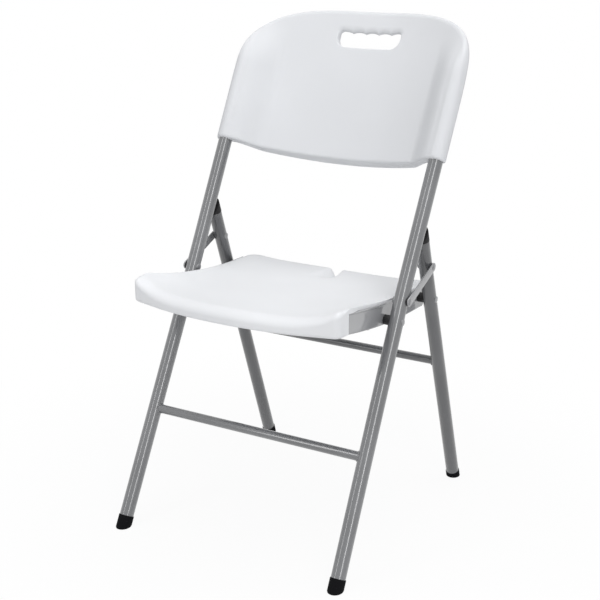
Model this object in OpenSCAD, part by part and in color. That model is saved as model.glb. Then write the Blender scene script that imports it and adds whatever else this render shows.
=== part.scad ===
// Folding chair: moulded seat and back panel on a steel tube frame.
// Millimetres, +Z up, the floor at Z 0. The chair stands open and faces -Y; left is -X, right is +X.

/* [Front tubes] */
// Outer diameter of the front tubes
tube_d = 25; // [22:0.5:28]
// Wall of every frame tube
tube_wall = 1.2; // [0.8:0.1:2]
// Distance from the middle of the chair to a front tube axis at the floor
front_foot_x = 214.5; // [205:0.5:230]
// Front tube axis at the floor, along Y
front_foot_y = -261.5; // [-275:0.5:-250]
// Lean of the front tubes to the rear, below the bend
front_lean = 28.07; // [26:0.01:30]
// Lean of the front tubes inwards, below the bend
front_splay = 0.64; // [0:0.01:1]
// Height of the bend in the front tubes
bend_z = 436; // [435:1:446]
// Lean of the uprights to the rear, above the bend
upright_lean = 28.65; // [28:0.01:30]
// Lean of the uprights outwards, above the bend
upright_flare = 0.63; // [0:0.01:1]
// Length of the uprights above the bend
upright_len = 398; // [388:1:408]

/* [Rear legs] */
// Outer diameter of the rear legs
leg_d = 24; // [21:0.5:25]
// Distance from the middle of the chair to a rear leg axis at the floor
rear_foot_x = 209.25; // [205:0.25:212]
// Rear leg axis at the floor, along Y
rear_foot_y = 224.7; // [215:0.1:235]
// Lean of the rear legs to the front
rear_lean = 19.75; // [19:0.01:20.5]
// Lean of the rear legs outwards
rear_flare = 0.19; // [0:0.01:0.6]
// Height at which the rear leg tubes end
leg_top_z = 512; // [505:1:512]
// Gap between a rear leg's top cap and the upright beside it
cap_gap = 2; // [1.8:0.1:3]

/* [Stretchers] */
// Height of the front stretcher
front_bar_z = 192; // [120:1:215]
// Outer diameter of the front stretcher
front_bar_d = 16; // [12:0.5:20]
// Height of the rear stretcher
rear_bar_z = 266.8; // [200:0.1:290]
// Outer diameter of the rear stretcher
rear_bar_d = 15; // [12:0.5:20]

/* [Pivots] */
// Height of the pivot between a front tube and the seat rail
seat_pivot_z = 395; // [393:0.5:397]
// Height of the pivot between a rear leg and the seat rail
leg_pivot_z = 398.6; // [397:0.1:400]
// Height of the link pivot on a front tube
link_pivot_z = 426.2; // [424:0.1:428]
// Height of the link pivot on a rear leg
link_tail_z = 463.5; // [460:0.5:467]
// Diameter of the rivet shanks
rivet_d = 8; // [6:0.5:9]
// Radius of the rivet heads
head_r = 5.8; // [5.4:0.1:7]
// Height of the rivet heads
head_h = 1.4; // [1.2:0.1:2.4]
// Height of the low rivet heads against the rails and on the tubes' inner sides
low_head_h = 1.2; // [1:0.1:1.5]
// Radius of the spacing bushes beside the seat rails
bush_r = 8.5; // [8:0.1:10]
// Radius of the washers under the links
washer_r = 6.8; // [6:0.1:7.5]
// Length of the bush between a front tube and its seat rail
bush_len = 9; // [7:0.1:11]
// Thickness of the washer under a link
washer_t = 1.9; // [1.5:0.1:2.5]

/* [Links] */
// Width of the link straps
link_w = 15; // [14.5:0.5:20]
// Thickness of the link straps
link_t = 2.5; // [2:0.1:4]

/* [Feet] */
// Wall of the foot caps around a tube
foot_wall = 0.9; // [0.6:0.1:2]
// Thickness of rubber under a tube
foot_sole = 3; // [2:0.5:6]
// Height of the front foot caps along the tube
front_foot_h = 27; // [20:1:34]
// Height of the rear foot caps along the leg
rear_foot_h = 19; // [16:1:30]
// Depth of the grooves round the rear foot caps
groove_deep = 0.5; // [0.2:0.1:0.6]
// Length of the plugs inside the tubes
plug_len = 18; // [10:1:26]

/* [Seat] */
// Depth of the seat, nose to rear edge
seat_depth = 386; // [380:1:392]
// Nose of the seat at the middle, along Y
seat_front_y = -255; // [-265:1:-245]
// Height of the underside of the nose
nose_bottom_z = 410; // [406:1:413]
// Height of the lowest line along the middle of the seat
seat_low_z = 410.5; // [409:0.5:413]
// Rise of the middle line from there to the nose
seat_nose_rise = 29.9; // [24:0.1:34]
// Height of the lowest point of the side crests
crest_low_z = 417.5; // [415:0.5:419]
// Rise of the side crests from there to the nose
crest_rise = 57.2; // [50:0.1:60]
// Sweep of the front edge: how far its corners lie behind its middle
front_sweep = 28; // [15:1:34]
// How far the nose stands out over each seat rail
wing_out = 11.5; // [6:0.5:12]
// Length of the full depth side wall at the nose, from the middle of the front edge
wing_len = 61; // [55:1:66]
// Length over which the wings run back into the seat's side
wing_fade = 69; // [50:1:90]
// Radius of the nose corners in plan
nose_corner_r = 13; // [8:1:18]
// Radius of the rear corners in plan
rear_corner_r = 26; // [18:1:34]
// Depth of the scoop at the middle of the rear edge
scoop_deep = 17.5; // [10:0.5:19]
// Half width of the scoop at the rear edge
scoop_half = 16; // [12:0.5:20]
// Length over which the scoop runs out forwards
scoop_len = 80; // [60:1:90]

/* [Seat rails] */
// Sheet thickness of the seat rails
rail_t = 2; // [1.5:0.1:3]
// Lowest height of the rails' top edge
rail_low_z = 415.5; // [414:0.5:417]
// Rise of the rails' top edge to the front
rail_rise = 30; // [26:0.5:31]
// Height of the rails at the rear
rail_h = 39.5; // [36:0.5:43]
// Height of the rails at the front
rail_front_h = 37.5; // [34:0.5:40]
// Width of the hem along the rails' top edge
rail_hem = 1.2; // [0.3:0.1:2]
// Width of the flange along the rails' bottom edge
rail_flange = 13; // [10:0.5:18]
// Distance of the rails' rear end in front of the seat's rear edge
rail_rear_gap = 25; // [20:1:29]

/* [Crossbars] */
// Width of the crossbars under the seat
cross_w = 16; // [14:0.5:24]
// Wall of the crossbars
cross_wall = 1.5; // [1:0.1:2]
// Distance of the front crossbar from the nose
cross_front_v = 156; // [140:1:170]
// Distance of the rear crossbar from the nose
cross_rear_v = 288; // [260:1:300]
// Distance of the seat screws from the middle
seat_screw_x = 110; // [60:1:150]
// Diameter of every self-tapping screw
screw_d = 4; // [3:0.1:4.5]

/* [Back panel] */
// Lower edge of the back panel, along the uprights from the bend
back_low = 233; // [227:1:239]
// Top of the back panel at the middle, along the uprights from the bend
back_top = 524; // [519:1:529]
// Where the side edges of the back panel start to round over
back_shoulder = 365; // [358:1:373]
// Exponent of the rounded top outline
back_round = 2.85; // [2.4:0.05:3.2]
// Wall of the bolsters round the uprights
bolster_wall = 4; // [3:0.1:5]
// How far the middle of the back panel bows to the rear
back_bow = 58; // [45:1:62]
// Thickness of the back panel at the middle of its lower edge
back_t = 27; // [20:0.5:30]
// Thickness of the back panel from the handle slot upwards
back_top_t = 15; // [12:0.5:20]
// Thickness of the back panel beside the bolsters
back_side_t = 15; // [12:0.5:20]
// Half width of the handle slot
slot_half = 66.5; // [50:0.5:75]
// Lower edge of the handle slot
slot_low = 448; // [443:1:453]
// Upper edge of the handle slot
slot_high = 484; // [477:1:487]
// Distance between the finger cusps in the slot
cusp_pitch = 26; // [24:0.5:28]
// How far the cusps hang down
cusp_drop = 3; // [1.5:0.1:4]
// Where the lower and upper back screws sit, along the uprights
screw_low_s = 283; // [268:1:293]
// Distance between the back screws on a side
screw_pitch = 80; // [60:1:95]

/* [Fits] */
// Radial clearance of a rivet in its bore
pin_fit = 0.05; // [0.02:0.01:0.1]
// Gap between pieces that are fastened together
seat_gap = 0.05; // [0.02:0.01:0.2]
// Gap between pieces that move past each other
run_gap = 0.35; // [0.3:0.05:0.5]

/* [Hidden] */

$fn = 64;
steel_grey = "#83868a";
link_grey = "#8f9296";
seat_white = "#e6e8ea";
back_white = "#d6d9dc";
black = "#2b2c2e";
zinc = "#b4b7ba";

// Size of the blocks that cut pieces off
block = 100;
// Edge broken on caps, and how far a pin or head is sunk into what it joins
broken = 0.6;
sunk = 2;
pin_over = 0.5;

tube_r = tube_d / 2;
leg_r = leg_d / 2;
rivet_r = rivet_d / 2;
bore_r = rivet_r + pin_fit;
screw_r = screw_d / 2;

// Front tube and rear leg axes on the right side, as points at a height
function front_p(z) = [front_foot_x - z * tan(front_splay), front_foot_y + z * tan(front_lean), z];
function rear_p(z) = [rear_foot_x + z * tan(rear_flare), rear_foot_y - z * tan(rear_lean), z];
front_dir = [-tan(front_splay), tan(front_lean), 1];
rear_dir = [tan(rear_flare), -tan(rear_lean), 1];
bend_p = front_p(bend_z);
upright_dir = [
    sin(upright_flare), cos(upright_flare) * sin(upright_lean), cos(upright_flare) * cos(upright_lean)
];
// The bend: its angle, and a frame at it with Z square to the mitre and X towards its outside
lower_dir = front_dir / norm(front_dir);
bend_angle = acos(lower_dir * upright_dir);
mitre_z = (upright_dir + lower_dir) / norm(upright_dir + lower_dir);
mitre_x = (upright_dir - lower_dir) / norm(upright_dir - lower_dir);
mitre_y = cross(mitre_z, mitre_x);
bend_frame = [for (i = [0:2]) [mitre_x[i], mitre_y[i], mitre_z[i], bend_p[i]]];

seat_pivot = front_p(seat_pivot_z);
leg_pivot = rear_p(leg_pivot_z);
link_pivot = front_p(link_pivot_z);
link_tail = rear_p(link_tail_z);

// X of the faces from the seat rail outwards
rail_x = seat_pivot.x - tube_r - bush_len;
seat_half = rail_x - rail_t - 1;
link_x = link_pivot.x + tube_r + washer_t;

// Places children at a point with their Z axis along a direction
module along(p, d) {
    translate(p)
    rotate([-asin(d.y / norm(d)), atan2(d.x, d.z), 0])
    children();
}

// Children on the right side, or mirrored to the left
module on_side(side) {
    mirror([side < 0 ? 1 : 0, 0, 0])
    children();
}

// Children in the frame of the uprights: Z up along them from the bend, Y to the rear
module on_upright() {
    translate([0, bend_p.y, bend_z])
    rotate([-upright_lean, 0, 0])
    children();
}

// Cylinder along X, from x0 to x1, through the point p
module pin(p, r, x0, x1) {
    translate([x0, p.y, p.z])
    rotate([0, 90, 0])
    cylinder(r = r, h = x1 - x0);
}

// Solid round a front tube's axis with the radius r: two straight runs, mitred at the bend
module front_core(r, start = 0, top = upright_len) {
    multmatrix(bend_frame)
    for (run = [[-1, norm(front_dir) * bend_z - start], [1, top]])
        mirror([0, 0, run[0] < 0 ? 1 : 0])
        difference() {
            rotate([0, bend_angle / 2, 0])
            translate([0, 0, -r])
            cylinder(r = r, h = run[1] + r);
            translate([-block / 2, -block / 2, -block])
            cube(block);
        }
}

// The straight upper part of the same, for the sockets of the back panel
module front_socket(r, top) {
    along(bend_p, upright_dir)
    cylinder(r = r, h = top);
}

// The straight lower part of the same, for what sits against the tube there
module front_saddle(r) {
    along(front_p(0), front_dir)
    cylinder(r = r, h = norm(front_dir) * bend_z);
}

// Solid of a rear leg's axis with the radius r
module leg_core(r, start, stop) {
    along(rear_p(0), rear_dir)
    translate([0, 0, start])
    cylinder(r = r, h = stop - start);
}

// Distances along the axes from the floor: where the tubes start and where the foot caps end
front_start = foot_sole / cos(front_lean) + tube_r * tan(front_lean);
rear_start = foot_sole / cos(rear_lean) + leg_r * tan(rear_lean);
front_cap_end = front_foot_h - tube_r * tan(front_lean);
rear_cap_end = rear_foot_h - leg_r * tan(rear_lean);
leg_len = leg_top_z * norm(rear_dir);

// ---- Front frame ----

module front_tube(side) {
    on_side(side)
    color(steel_grey)
    difference() {
        front_core(tube_r, front_start);
        front_core(tube_r - tube_wall, front_start - 1, upright_len + 1);
        pin(seat_pivot, bore_r, seat_pivot.x - tube_d, seat_pivot.x + tube_d);
        pin(link_pivot, bore_r, link_pivot.x - tube_d, link_pivot.x + tube_d);
        screw_holes(screw_r + pin_fit);
    }
}

// Round bar between a pair of tubes, its ends cut to their surfaces
module stretcher(p, r, tube_radius, dir) {
    color(steel_grey)
    difference() {
        pin([0, p.y, p.z], r, -p.x, p.x);
        pin([0, p.y, p.z], r - tube_wall, -p.x, p.x);
        for (side = [-1, 1])
            on_side(side)
            along(p - dir * block / 2, dir)
            cylinder(r = tube_radius + seat_gap, h = block * norm(dir));
    }
}

module front_stretcher() {
    stretcher(front_p(front_bar_z), front_bar_d / 2, tube_r, front_dir);
}

groove_pitch = 3;
groove_w = 1;
plug_wall = 2;

// Cap on the end of a tube with the radius r: a sole on the floor, a sleeve and a hollow plug
module foot_cap(p, dir, r, start, end, grooves) {
    out_r = r + foot_wall;
    plug_r = r - tube_wall - seat_gap;
    color(black)
    difference() {
        intersection() {
            along(p, dir)
            union() {
                rotate_extrude()
                difference() {
                    polygon([[0, -r], [out_r, -r], [out_r, end - broken], [out_r - broken, end], [0, end]]);
                    for (i = [0:1:grooves - 1])
                        translate([out_r, end - (i + 1) * groove_pitch])
                        square([2 * groove_deep, groove_w], center = true);
                }
                translate([0, 0, start])
                cylinder(r = plug_r, h = plug_len);
            }
            translate([p.x - block / 2, p.y - block / 2, 0])
            cube(block);
        }
        along(p, dir)
        translate([0, 0, start])
        difference() {
            cylinder(r = r + seat_gap, h = plug_len * 2);
            translate([0, 0, -1])
            cylinder(r = plug_r, h = plug_len * 2 + 2);
        }
        along(p, dir)
        translate([0, 0, start + plug_wall])
        cylinder(r = plug_r - plug_wall, h = plug_len);
    }
}

module front_foot(side) {
    on_side(side)
    foot_cap(front_p(0), front_dir, tube_r, front_start, front_cap_end, 0);
}

module seat_pivot_rivet(side) {
    on_side(side)
    color(steel_grey) {
        difference() {
            pin(seat_pivot, head_r, seat_pivot.x + tube_r - sunk, seat_pivot.x + tube_r + washer_t / 2);
            front_saddle(tube_r + seat_gap);
        }
        pin(seat_pivot, rivet_r, rail_x - rail_t - pin_over, seat_pivot.x + tube_r + pin_over);
        pin(seat_pivot, head_r, rail_x - rail_t - seat_gap - low_head_h, rail_x - rail_t - seat_gap);
    }
}

module seat_pivot_bush(side) {
    on_side(side)
    color(black)
    difference() {
        pin(seat_pivot, bush_r, rail_x + run_gap, seat_pivot.x);
        pin(seat_pivot, bore_r, rail_x - 1, seat_pivot.x + 1);
        front_saddle(tube_r + seat_gap);
    }
}

module link_pivot_rivet(side) {
    on_side(side)
    color(steel_grey) {
        pin(link_pivot, head_r, link_x + link_t + 2 * seat_gap, link_x + link_t + 2 * seat_gap + head_h);
        pin(link_pivot, rivet_r, link_pivot.x - tube_r - pin_over, link_x + link_t + 2 * pin_over);
        difference() {
            pin(link_pivot, head_r, link_pivot.x - tube_r - low_head_h, link_pivot.x - tube_r + sunk);
            front_saddle(tube_r + seat_gap);
        }
    }
}

module link_washer(side) {
    on_side(side)
    color(black)
    difference() {
        pin(link_pivot, washer_r, link_pivot.x, link_x - seat_gap);
        pin(link_pivot, bore_r, link_pivot.x, link_x + 1);
        front_saddle(tube_r + seat_gap);
    }
}

// ---- Back panel: points in the frame of the uprights ----

bolster_r = tube_r + bolster_wall;
back_edge_r = 10;
back_low_r = 8;
// How far the lower edge falls from its middle to its rear face
back_shear = 2.5;
back_cols = 48;
back_rows = 22;
fade_low = 393;
fade_len = 70;
fillet_in = 27;
fillet_out = 8;
// How far the web's face lies in front of the uprights' axes at the bolsters
web_set = 1.5;
// Height over which the lower edge's shear dies out
shear_len = 40;
flare = tan(upright_flare);

function upright_x(s) = bend_p.x + s * flare;
function smooth(t) = let (c = min(1, max(0, t))) c * c * (3 - 2 * c);
function mix(a, b, t) = a + (b - a) * t;
back_half = upright_x(back_shoulder) + bolster_r;
// Half width of the panel at s, below the shoulder
function back_w(s) = upright_x(min(s, back_shoulder)) + bolster_r;
// Top edge at x
function back_st(x) = back_shoulder + (back_top - back_shoulder)
    * pow(max(0, 1 - pow(min(1, abs(x) / back_half), back_round)), 1 / back_round);
// Face of the web towards the sitter
function web_front(x) = back_bow * (1 - pow(x / back_half, 2)) - web_set;
// Rounding factor at a distance d from an edge with the radius r
function round_over(d, r) = d >= r ? 1 : sqrt(max(0, 1 - pow(1 - d / r, 2)));
// The same for a tighter, squarer edge
function square_over(d, r) = d >= r ? 1 : pow(max(0, 1 - pow(1 - d / r, 4)), 0.25);
// Half thickness of a bolster at x: round outside, and level from the fillet inwards
function bolster_h(x, s) = sqrt(max(0, pow(bolster_r, 2) - pow(max(-fillet_out, abs(x) - upright_x(s)), 2)));

function back_point(i, j, face) = let (
    u = 90 * (2 * i / back_cols - 1),
    xm = back_half * sin(u),
    top = back_st(xm),
    t = (1 - cos(180 * j / back_rows)) / 2,
    s = back_low + (top - back_low) * t,
    x = back_w(s) * sin(u),
    web = smooth((upright_x(s) - fillet_out - abs(x)) / (fillet_in - fillet_out)),
    fade = smooth((s - fade_low) / fade_len),
    thick = mix(
        mix(back_t, back_side_t, pow(x / back_half, 2)), back_top_t,
        smooth((s - back_low) / (slot_low - back_low))
    ),
    mid = mix(0, web_front(x) + thick / 2, max(web, fade)),
    side = round_over(back_half - abs(x), back_edge_r),
    half = mix(bolster_h(x, s), thick / 2 * mix(1, side, fade), max(web, fade)),
    slope = back_st(abs(xm) - 0.5) - back_st(abs(xm) + 0.5),
    g = round_over((top - s) / norm([1, slope]), back_edge_r) * square_over(s - back_low, back_low_r),
    shear = back_shear * face * web * (1 - smooth((s - back_low) / shear_len)),
    edge = i == 0 || i == back_cols || j == 0 || j == back_rows
) [x, edge ? mid : mid + face * half * g, edge ? s : s - shear];

function back_id(i, j, face) =
    face < 0 || i == 0 || i == back_cols || j == 0 || j == back_rows
        ? i * (back_rows + 1) + j
        : (back_cols + 1) * (back_rows + 1) + (i - 1) * (back_rows - 1) + j - 1;

module back_solid() {
    points = concat(
        [for (i = [0:back_cols], j = [0:back_rows]) back_point(i, j, -1)],
        [for (i = [1:back_cols - 1], j = [1:back_rows - 1]) back_point(i, j, 1)]
    );
    faces = [for (i = [0:back_cols - 1], j = [0:back_rows - 1], face = [-1, 1])
        let (a = back_id(i, j, face), b = back_id(i + 1, j, face),
             c = back_id(i + 1, j + 1, face), d = back_id(i, j + 1, face),
             cut = (i < back_cols / 2) == (j < back_rows / 2) ? [[a, b, c], [a, c, d]] : [[a, b, d], [b, c, d]])
        each face < 0 ? [for (t = cut) [t.z, t.y, t.x]] : cut];
    polyhedron(points, faces);
}

cusp_r = (pow(cusp_pitch / 2, 2) + pow(cusp_drop, 2)) / (2 * cusp_drop);

// Outline of the handle slot: rounded corners and four cusps between the fingers
module slot_outline() {
    low_r = 14;
    high_r = 6;
    difference() {
        hull() {
            for (side = [-1, 1]) {
                translate([side * (slot_half - low_r), slot_low + low_r])
                circle(r = low_r, $fn = 32);
                translate([side * (slot_half - high_r), slot_high - high_r])
                circle(r = high_r, $fn = 32);
            }
        }
        for (i = [-1.5:1:1.5])
            translate([i * cusp_pitch, slot_high])
            difference() {
                translate([-cusp_pitch / 2, -cusp_drop])
                square([cusp_pitch, cusp_drop + 1]);
                for (side = [-1, 1])
                    translate([side * cusp_pitch / 2, -cusp_r])
                    circle(r = cusp_r, $fn = 96);
            }
    }
}

// How deep the back screws reach into the uprights, and the profile of every screw head
screw_deep = 3;
screw_head_r = 4.4;
screw_head_h = 2.2;
screw_rim = 0.8;

// The shanks of the back screws on the right side
module screw_holes(r) {
    on_upright()
    for (i = [0, 1])
        translate([
            upright_x(screw_low_s + i * screw_pitch), tube_r - screw_deep,
            screw_low_s + i * screw_pitch
        ])
        rotate([-90, 0, 0])
        cylinder(r = r, h = bolster_wall + 2 * screw_deep);
}

module back_panel() {
    color(back_white)
    difference() {
        on_upright()
        difference() {
            back_solid();
            translate([0, back_bow + 2 * back_t, 0])
            rotate([90, 0, 0])
            linear_extrude(height = 3 * back_t)
            slot_outline();
        }
        for (side = [-1, 1])
            on_side(side) {
                front_socket(tube_r + seat_gap, upright_len + seat_gap);
                screw_holes(screw_r + pin_fit);
            }
    }
}

module back_screws() {
    color(zinc)
    for (side = [-1, 1])
        on_side(side) {
            screw_holes(screw_r);
            on_upright()
            for (i = [0, 1])
                translate([
                    upright_x(screw_low_s + i * screw_pitch), bolster_r + seat_gap,
                    screw_low_s + i * screw_pitch
                ])
                rotate([-90, 0, 0])
                rotate_extrude()
                polygon([
                    [0, -1], [screw_r, -1], [screw_r, 0], [screw_head_r, 0], [screw_head_r, screw_rim],
                    [0.73 * screw_head_r, screw_head_h], [0, screw_head_h]
                ]);
        }
}

// ---- Seat ----

// Heights at a distance v from the nose line
low_v = 0.878 * seat_depth;
crest_v = 0.956 * seat_depth;
rail_v0 = wing_len + 1;
rail_v1 = seat_depth - rail_rear_gap;
function sq(t) = t * t;
function mid_z(v) = seat_low_z + seat_nose_rise * sq((v - low_v) / low_v);
function crest_z(v) = crest_low_z + crest_rise * sq((v - crest_v) / crest_v);
function rail_top(v) = rail_low_z + rail_rise * sq((v - rail_v1) / (rail_v1 - rail_v0));
function rail_low(v) = rail_top(v) - mix(rail_h, rail_front_h, sq((v - rail_v1) / (rail_v1 - rail_v0)));
under_slope = 0.0476;
function under_z(v) = nose_bottom_z - under_slope * max(0, v - wing_len - 3);
// Half width of the seat at v
function seat_w(v) = seat_half + wing_out * (1 - smooth((v - wing_len) / wing_fade));
// Depth of the rear scoop at x, v: it grows wider and shallower forwards
scoop_spread = 0.35;
function scoop(x, v) = let (run = seat_depth - v, u = min(1, abs(x) / (scoop_half + scoop_spread * run)))
    scoop_deep * smooth(1 - run / scoop_len) * pow(1 - sq(u), 3);
crest_power = 5;
least_t = 6;
function seat_top(x, v) = mix(mid_z(v), crest_z(v), pow(min(1, abs(x) / seat_w(v)), crest_power))
    - scoop(x, v);
function seat_under(x, v) = min(under_z(v), seat_top(x, v) - least_t);

// Half outline in plan, from the middle of the nose to the middle of the rear edge
function half_outline(side_in, nose_in, rear_in, nose_r, rear_r) = let (
    wn = seat_half + wing_out - side_in,
    xc = wn - nose_r * 0.85,
    yc = nose_in + front_sweep * sq(xc / (wn)),
    tilt = atan(2 * front_sweep * xc / sq(wn)),
    cx = wn - nose_r,
    cy = nose_in + front_sweep * sq((cx + nose_r * sin(tilt)) / wn) + nose_r * cos(tilt),
    v1 = seat_depth - rear_in - rear_r,
    wr = seat_half - side_in,
    x0 = cx + nose_r * sin(tilt)
) concat(
    [for (i = [0:8]) let (x = x0 * i / 9) [x, nose_in + front_sweep * sq(x / wn)]],
    [for (i = [0:5]) let (a = tilt - 90 + (90 - tilt) * i / 5) [cx + nose_r * cos(a), cy + nose_r * sin(a)]],
    [for (i = [0:7]) let (v = mix(wing_len, wing_len + wing_fade, i / 7)) [seat_w(v) - side_in, v]],
    [for (i = [1:5]) let (v = mix(wing_len + wing_fade, v1, i / 6)) [wr, v]],
    [for (i = [0:6]) let (a = 90 * i / 6) [wr - rear_r + rear_r * cos(a), v1 + rear_r * sin(a)]],
    [for (f = [0.7, 0.51, 0.334, 0.205, 0.14, 0.097, 0.065, 0.032, 0]) [f * wr, seat_depth - rear_in]]
);
function outline(side_in, nose_in, rear_in, nose_r, rear_r) = let (
    half = half_outline(side_in, nose_in, rear_in, nose_r, rear_r),
    n = len(half)
) concat(half, [for (i = [n - 2:-1:1]) [-half[i].x, half[i].y]]);

edge_side = 12;
edge_nose = 26;
edge_rear = 8;
// Rounded edge: its depth at the sides and at the nose, and where the nose's runs out
drop_side = 2.5;
drop_nose = 15;
drop_v = 10;
drop_len = 45;
edge_power = 2.4;
core_nose_r = 5;
core_rear_r = 15;
outer = outline(0, 0, 0, nose_corner_r, rear_corner_r);
core = outline(edge_side, edge_nose, edge_rear, core_nose_r, core_rear_r);
seat_n = len(outer);
core_mid = [0, seat_depth * 0.52];

// Drop of the rounded edge at a point: deep at the nose, shallow at the sides and rear
function edge_drop(p) = mix(drop_side, drop_nose, smooth(1 - (p.y - drop_v) / drop_len));
// A ring of points: t runs from the outline (0) to the core (1), and on to the middle (2)
function plan(k, t) = t <= 1 ? mix(outer[k], core[k], t) : mix(core[k], core_mid, t - 1);
function top_ring(t) = [for (k = [0:seat_n - 1])
    let (p = plan(k, t), z = seat_top(p.x, p.y), g = pow(1 - pow(1 - min(1, t), edge_power), 1 / edge_power))
    [p.x, p.y, z - edge_drop(outer[k]) * (1 - g)]];
function low_ring(t) = [for (k = [0:seat_n - 1])
    let (p = plan(k, t), g = sqrt(1 - sq(1 - min(1, t / 0.4))),
         low = seat_under(p.x, p.y), room = seat_top(p.x, p.y) - edge_drop(outer[k]) - low)
    [p.x, p.y, low + min(drop_side, room / 2) * (1 - g)]];

module seat_solid() {
    rings = concat(
        [for (t = [1.9, 1.5, 1.2, 1, 0.4, 0.2, 0.07, 0]) low_ring(t)],
        [for (t = [0, 0.03, 0.1, 0.22, 0.4, 0.65, 1, 1.06, 1.14, 1.25, 1.4, 1.6, 1.85]) top_ring(t)]
    );
    count = len(rings);
    points = concat(
        [for (ring = rings) each ring],
        [[0, core_mid.y, seat_under(0, core_mid.y)], [0, core_mid.y, seat_top(0, core_mid.y)]]
    );
    faces = concat(
        [for (r = [0:count - 2], k = [0:seat_n - 1]) let (
            n = (k + 1) % seat_n, a = r * seat_n + k, b = r * seat_n + n,
            c = (r + 1) * seat_n + n, d = (r + 1) * seat_n + k)
            each [[a, c, b], [a, d, c]]],
        [for (k = [0:seat_n - 1]) [count * seat_n, k, (k + 1) % seat_n]],
        [for (k = [0:seat_n - 1])
            [count * seat_n + 1, (count - 1) * seat_n + (k + 1) % seat_n, (count - 1) * seat_n + k]]
    );
    polyhedron(points, faces);
}

// Polygon between two height functions over a list of distances v
function band(low, high, vs) = concat(
    [for (v = vs) [v, low(v)]],
    [for (i = [len(vs) - 1:-1:0]) [vs[i], high(vs[i])]]
);
// Even steps from a to b
function steps(a, b, n) = [for (i = [0:n]) mix(a, b, i / n)];

// Plate that stands along the side of the seat, from x0 to x1
module side_plate(points, x0, x1) {
    translate([x0, seat_front_y, 0])
    rotate([90, 0, 90])
    linear_extrude(height = x1 - x0)
    polygon(points);
}

// Sides and the underside of the rim that lies over the rails
rim_step = 1.1;
body_half = seat_half - rim_step;
rim_t = 6;
rim_v1 = wing_len + wing_fade + 10;
rail_clear = 0.5;
air_z = nose_bottom_z - 60;

module seat_shell() {
    color(seat_white)
    difference() {
        translate([0, seat_front_y, 0])
        seat_solid();
        for (side = [-1, 1])
            on_side(side) {
                side_plate(
                    band(function (v) air_z, function (v) rail_top(v) - rim_t,
                        steps(wing_len, seat_depth + 1, 20)),
                    body_half, seat_half + block / 3
                );
                side_plate(
                    band(function (v) air_z, function (v) rail_top(v) + rail_clear,
                        steps(wing_len, rim_v1, 10)),
                    rail_x - rail_t - rail_clear, seat_half + block / 3
                );
            }
        for (v = [cross_front_v, cross_rear_v], x = [-seat_screw_x, seat_screw_x])
            translate([x, seat_front_y + v, under_z(v) - 5])
            cylinder(r = screw_r + pin_fit, h = screw_in + 5.2);
    }
}

// ---- Seat rails ----

rail_end_r = 10;
hem_h = 4.5;
flange_v0 = rail_v0 + 12;
// How far the rounded rear end draws the edges in
function end_in(v) = v < rail_v1 - rail_end_r ? 0
    : rail_end_r - sqrt(max(0, sq(rail_end_r) - sq(v - rail_v1 + rail_end_r)));
web_vs = concat(
    steps(rail_v0, rail_v1 - rail_end_r, 18),
    [for (i = [1:6]) rail_v1 - rail_end_r + rail_end_r * sin(15 * i)]
);

module seat_rail(side) {
    on_side(side)
    color(steel_grey)
    difference() {
        union() {
            side_plate(
                band(function (v) rail_low(v) + end_in(v), function (v) rail_top(v) - end_in(v), web_vs),
                rail_x - rail_t, rail_x
            );
            side_plate(
                band(function (v) rail_top(v) - hem_h, function (v) rail_top(v),
                    steps(rail_v0, rail_v1 - rail_end_r, 18)),
                rail_x - rail_t, rail_x + rail_hem
            );
            side_plate(
                band(function (v) rail_low(v), function (v) rail_low(v) + rail_t,
                    steps(flange_v0, rail_v1 - rail_end_r, 18)),
                rail_x - rail_t - rail_flange, rail_x
            );
        }
        pin(seat_pivot, bore_r, rail_x - rail_flange, rail_x + rail_flange);
        pin(leg_pivot, bore_r, rail_x - rail_flange, rail_x + rail_flange);
        rivet_holes(cross_rivet_r + pin_fit);
    }
}

// ---- Crossbars ----

screw_in = 9;
cross_rivet_r = 2.5;
cross_head_r = 4.5;
cross_rivet_x = rail_x - rail_t - rail_flange / 2;
cross_half = rail_x - rail_t - seat_gap;
function rail_tilt(v) = (rail_low(v + 1) - rail_low(v - 1)) / 2;

// Places children on the underside of the right rail's flange at v, square to it
module on_flange(v) {
    along([cross_rivet_x, seat_front_y + v, rail_low(v)], [0, -rail_tilt(v), 1])
    children();
}

module rivet_holes(r) {
    for (v = [cross_front_v, cross_rear_v])
        on_flange(v)
        translate([0, 0, -1])
        cylinder(r = r, h = rail_t + cross_wall + 2);
}

module crossbar(v) {
    low = function (t) rail_low(t) + rail_t + seat_gap;
    high = function (t) under_z(t) - seat_gap;
    color(steel_grey)
    difference() {
        side_plate(band(low, high, steps(v - cross_w / 2, v + cross_w / 2, 4)), -cross_half, cross_half);
        side_plate(
            band(function (t) low(t) + cross_wall, function (t) high(t) - cross_wall,
                steps(v - cross_w / 2 + cross_wall, v + cross_w / 2 - cross_wall, 4)),
            -cross_half - 1, cross_half + 1
        );
        for (side = [-1, 1])
            on_side(side) {
                rivet_holes(cross_rivet_r + pin_fit);
                translate([seat_screw_x, seat_front_y + v, air_z])
                cylinder(r = screw_r + pin_fit, h = block);
            }
    }
}

module crossbar_front() {
    crossbar(cross_front_v);
}

module crossbar_rear() {
    crossbar(cross_rear_v);
}

module crossbar_rivets() {
    color(steel_grey)
    for (side = [-1, 1], v = [cross_front_v, cross_rear_v])
        on_side(side)
        on_flange(v)
        rotate_extrude()
        polygon([
            [0, -sunk], [cross_head_r - 1.5, -sunk], [cross_head_r, -sunk / 2], [cross_head_r, -seat_gap],
            [cross_rivet_r, -seat_gap], [cross_rivet_r, rail_t + cross_wall + pin_over],
            [0, rail_t + cross_wall + pin_over]
        ]);
}

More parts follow.
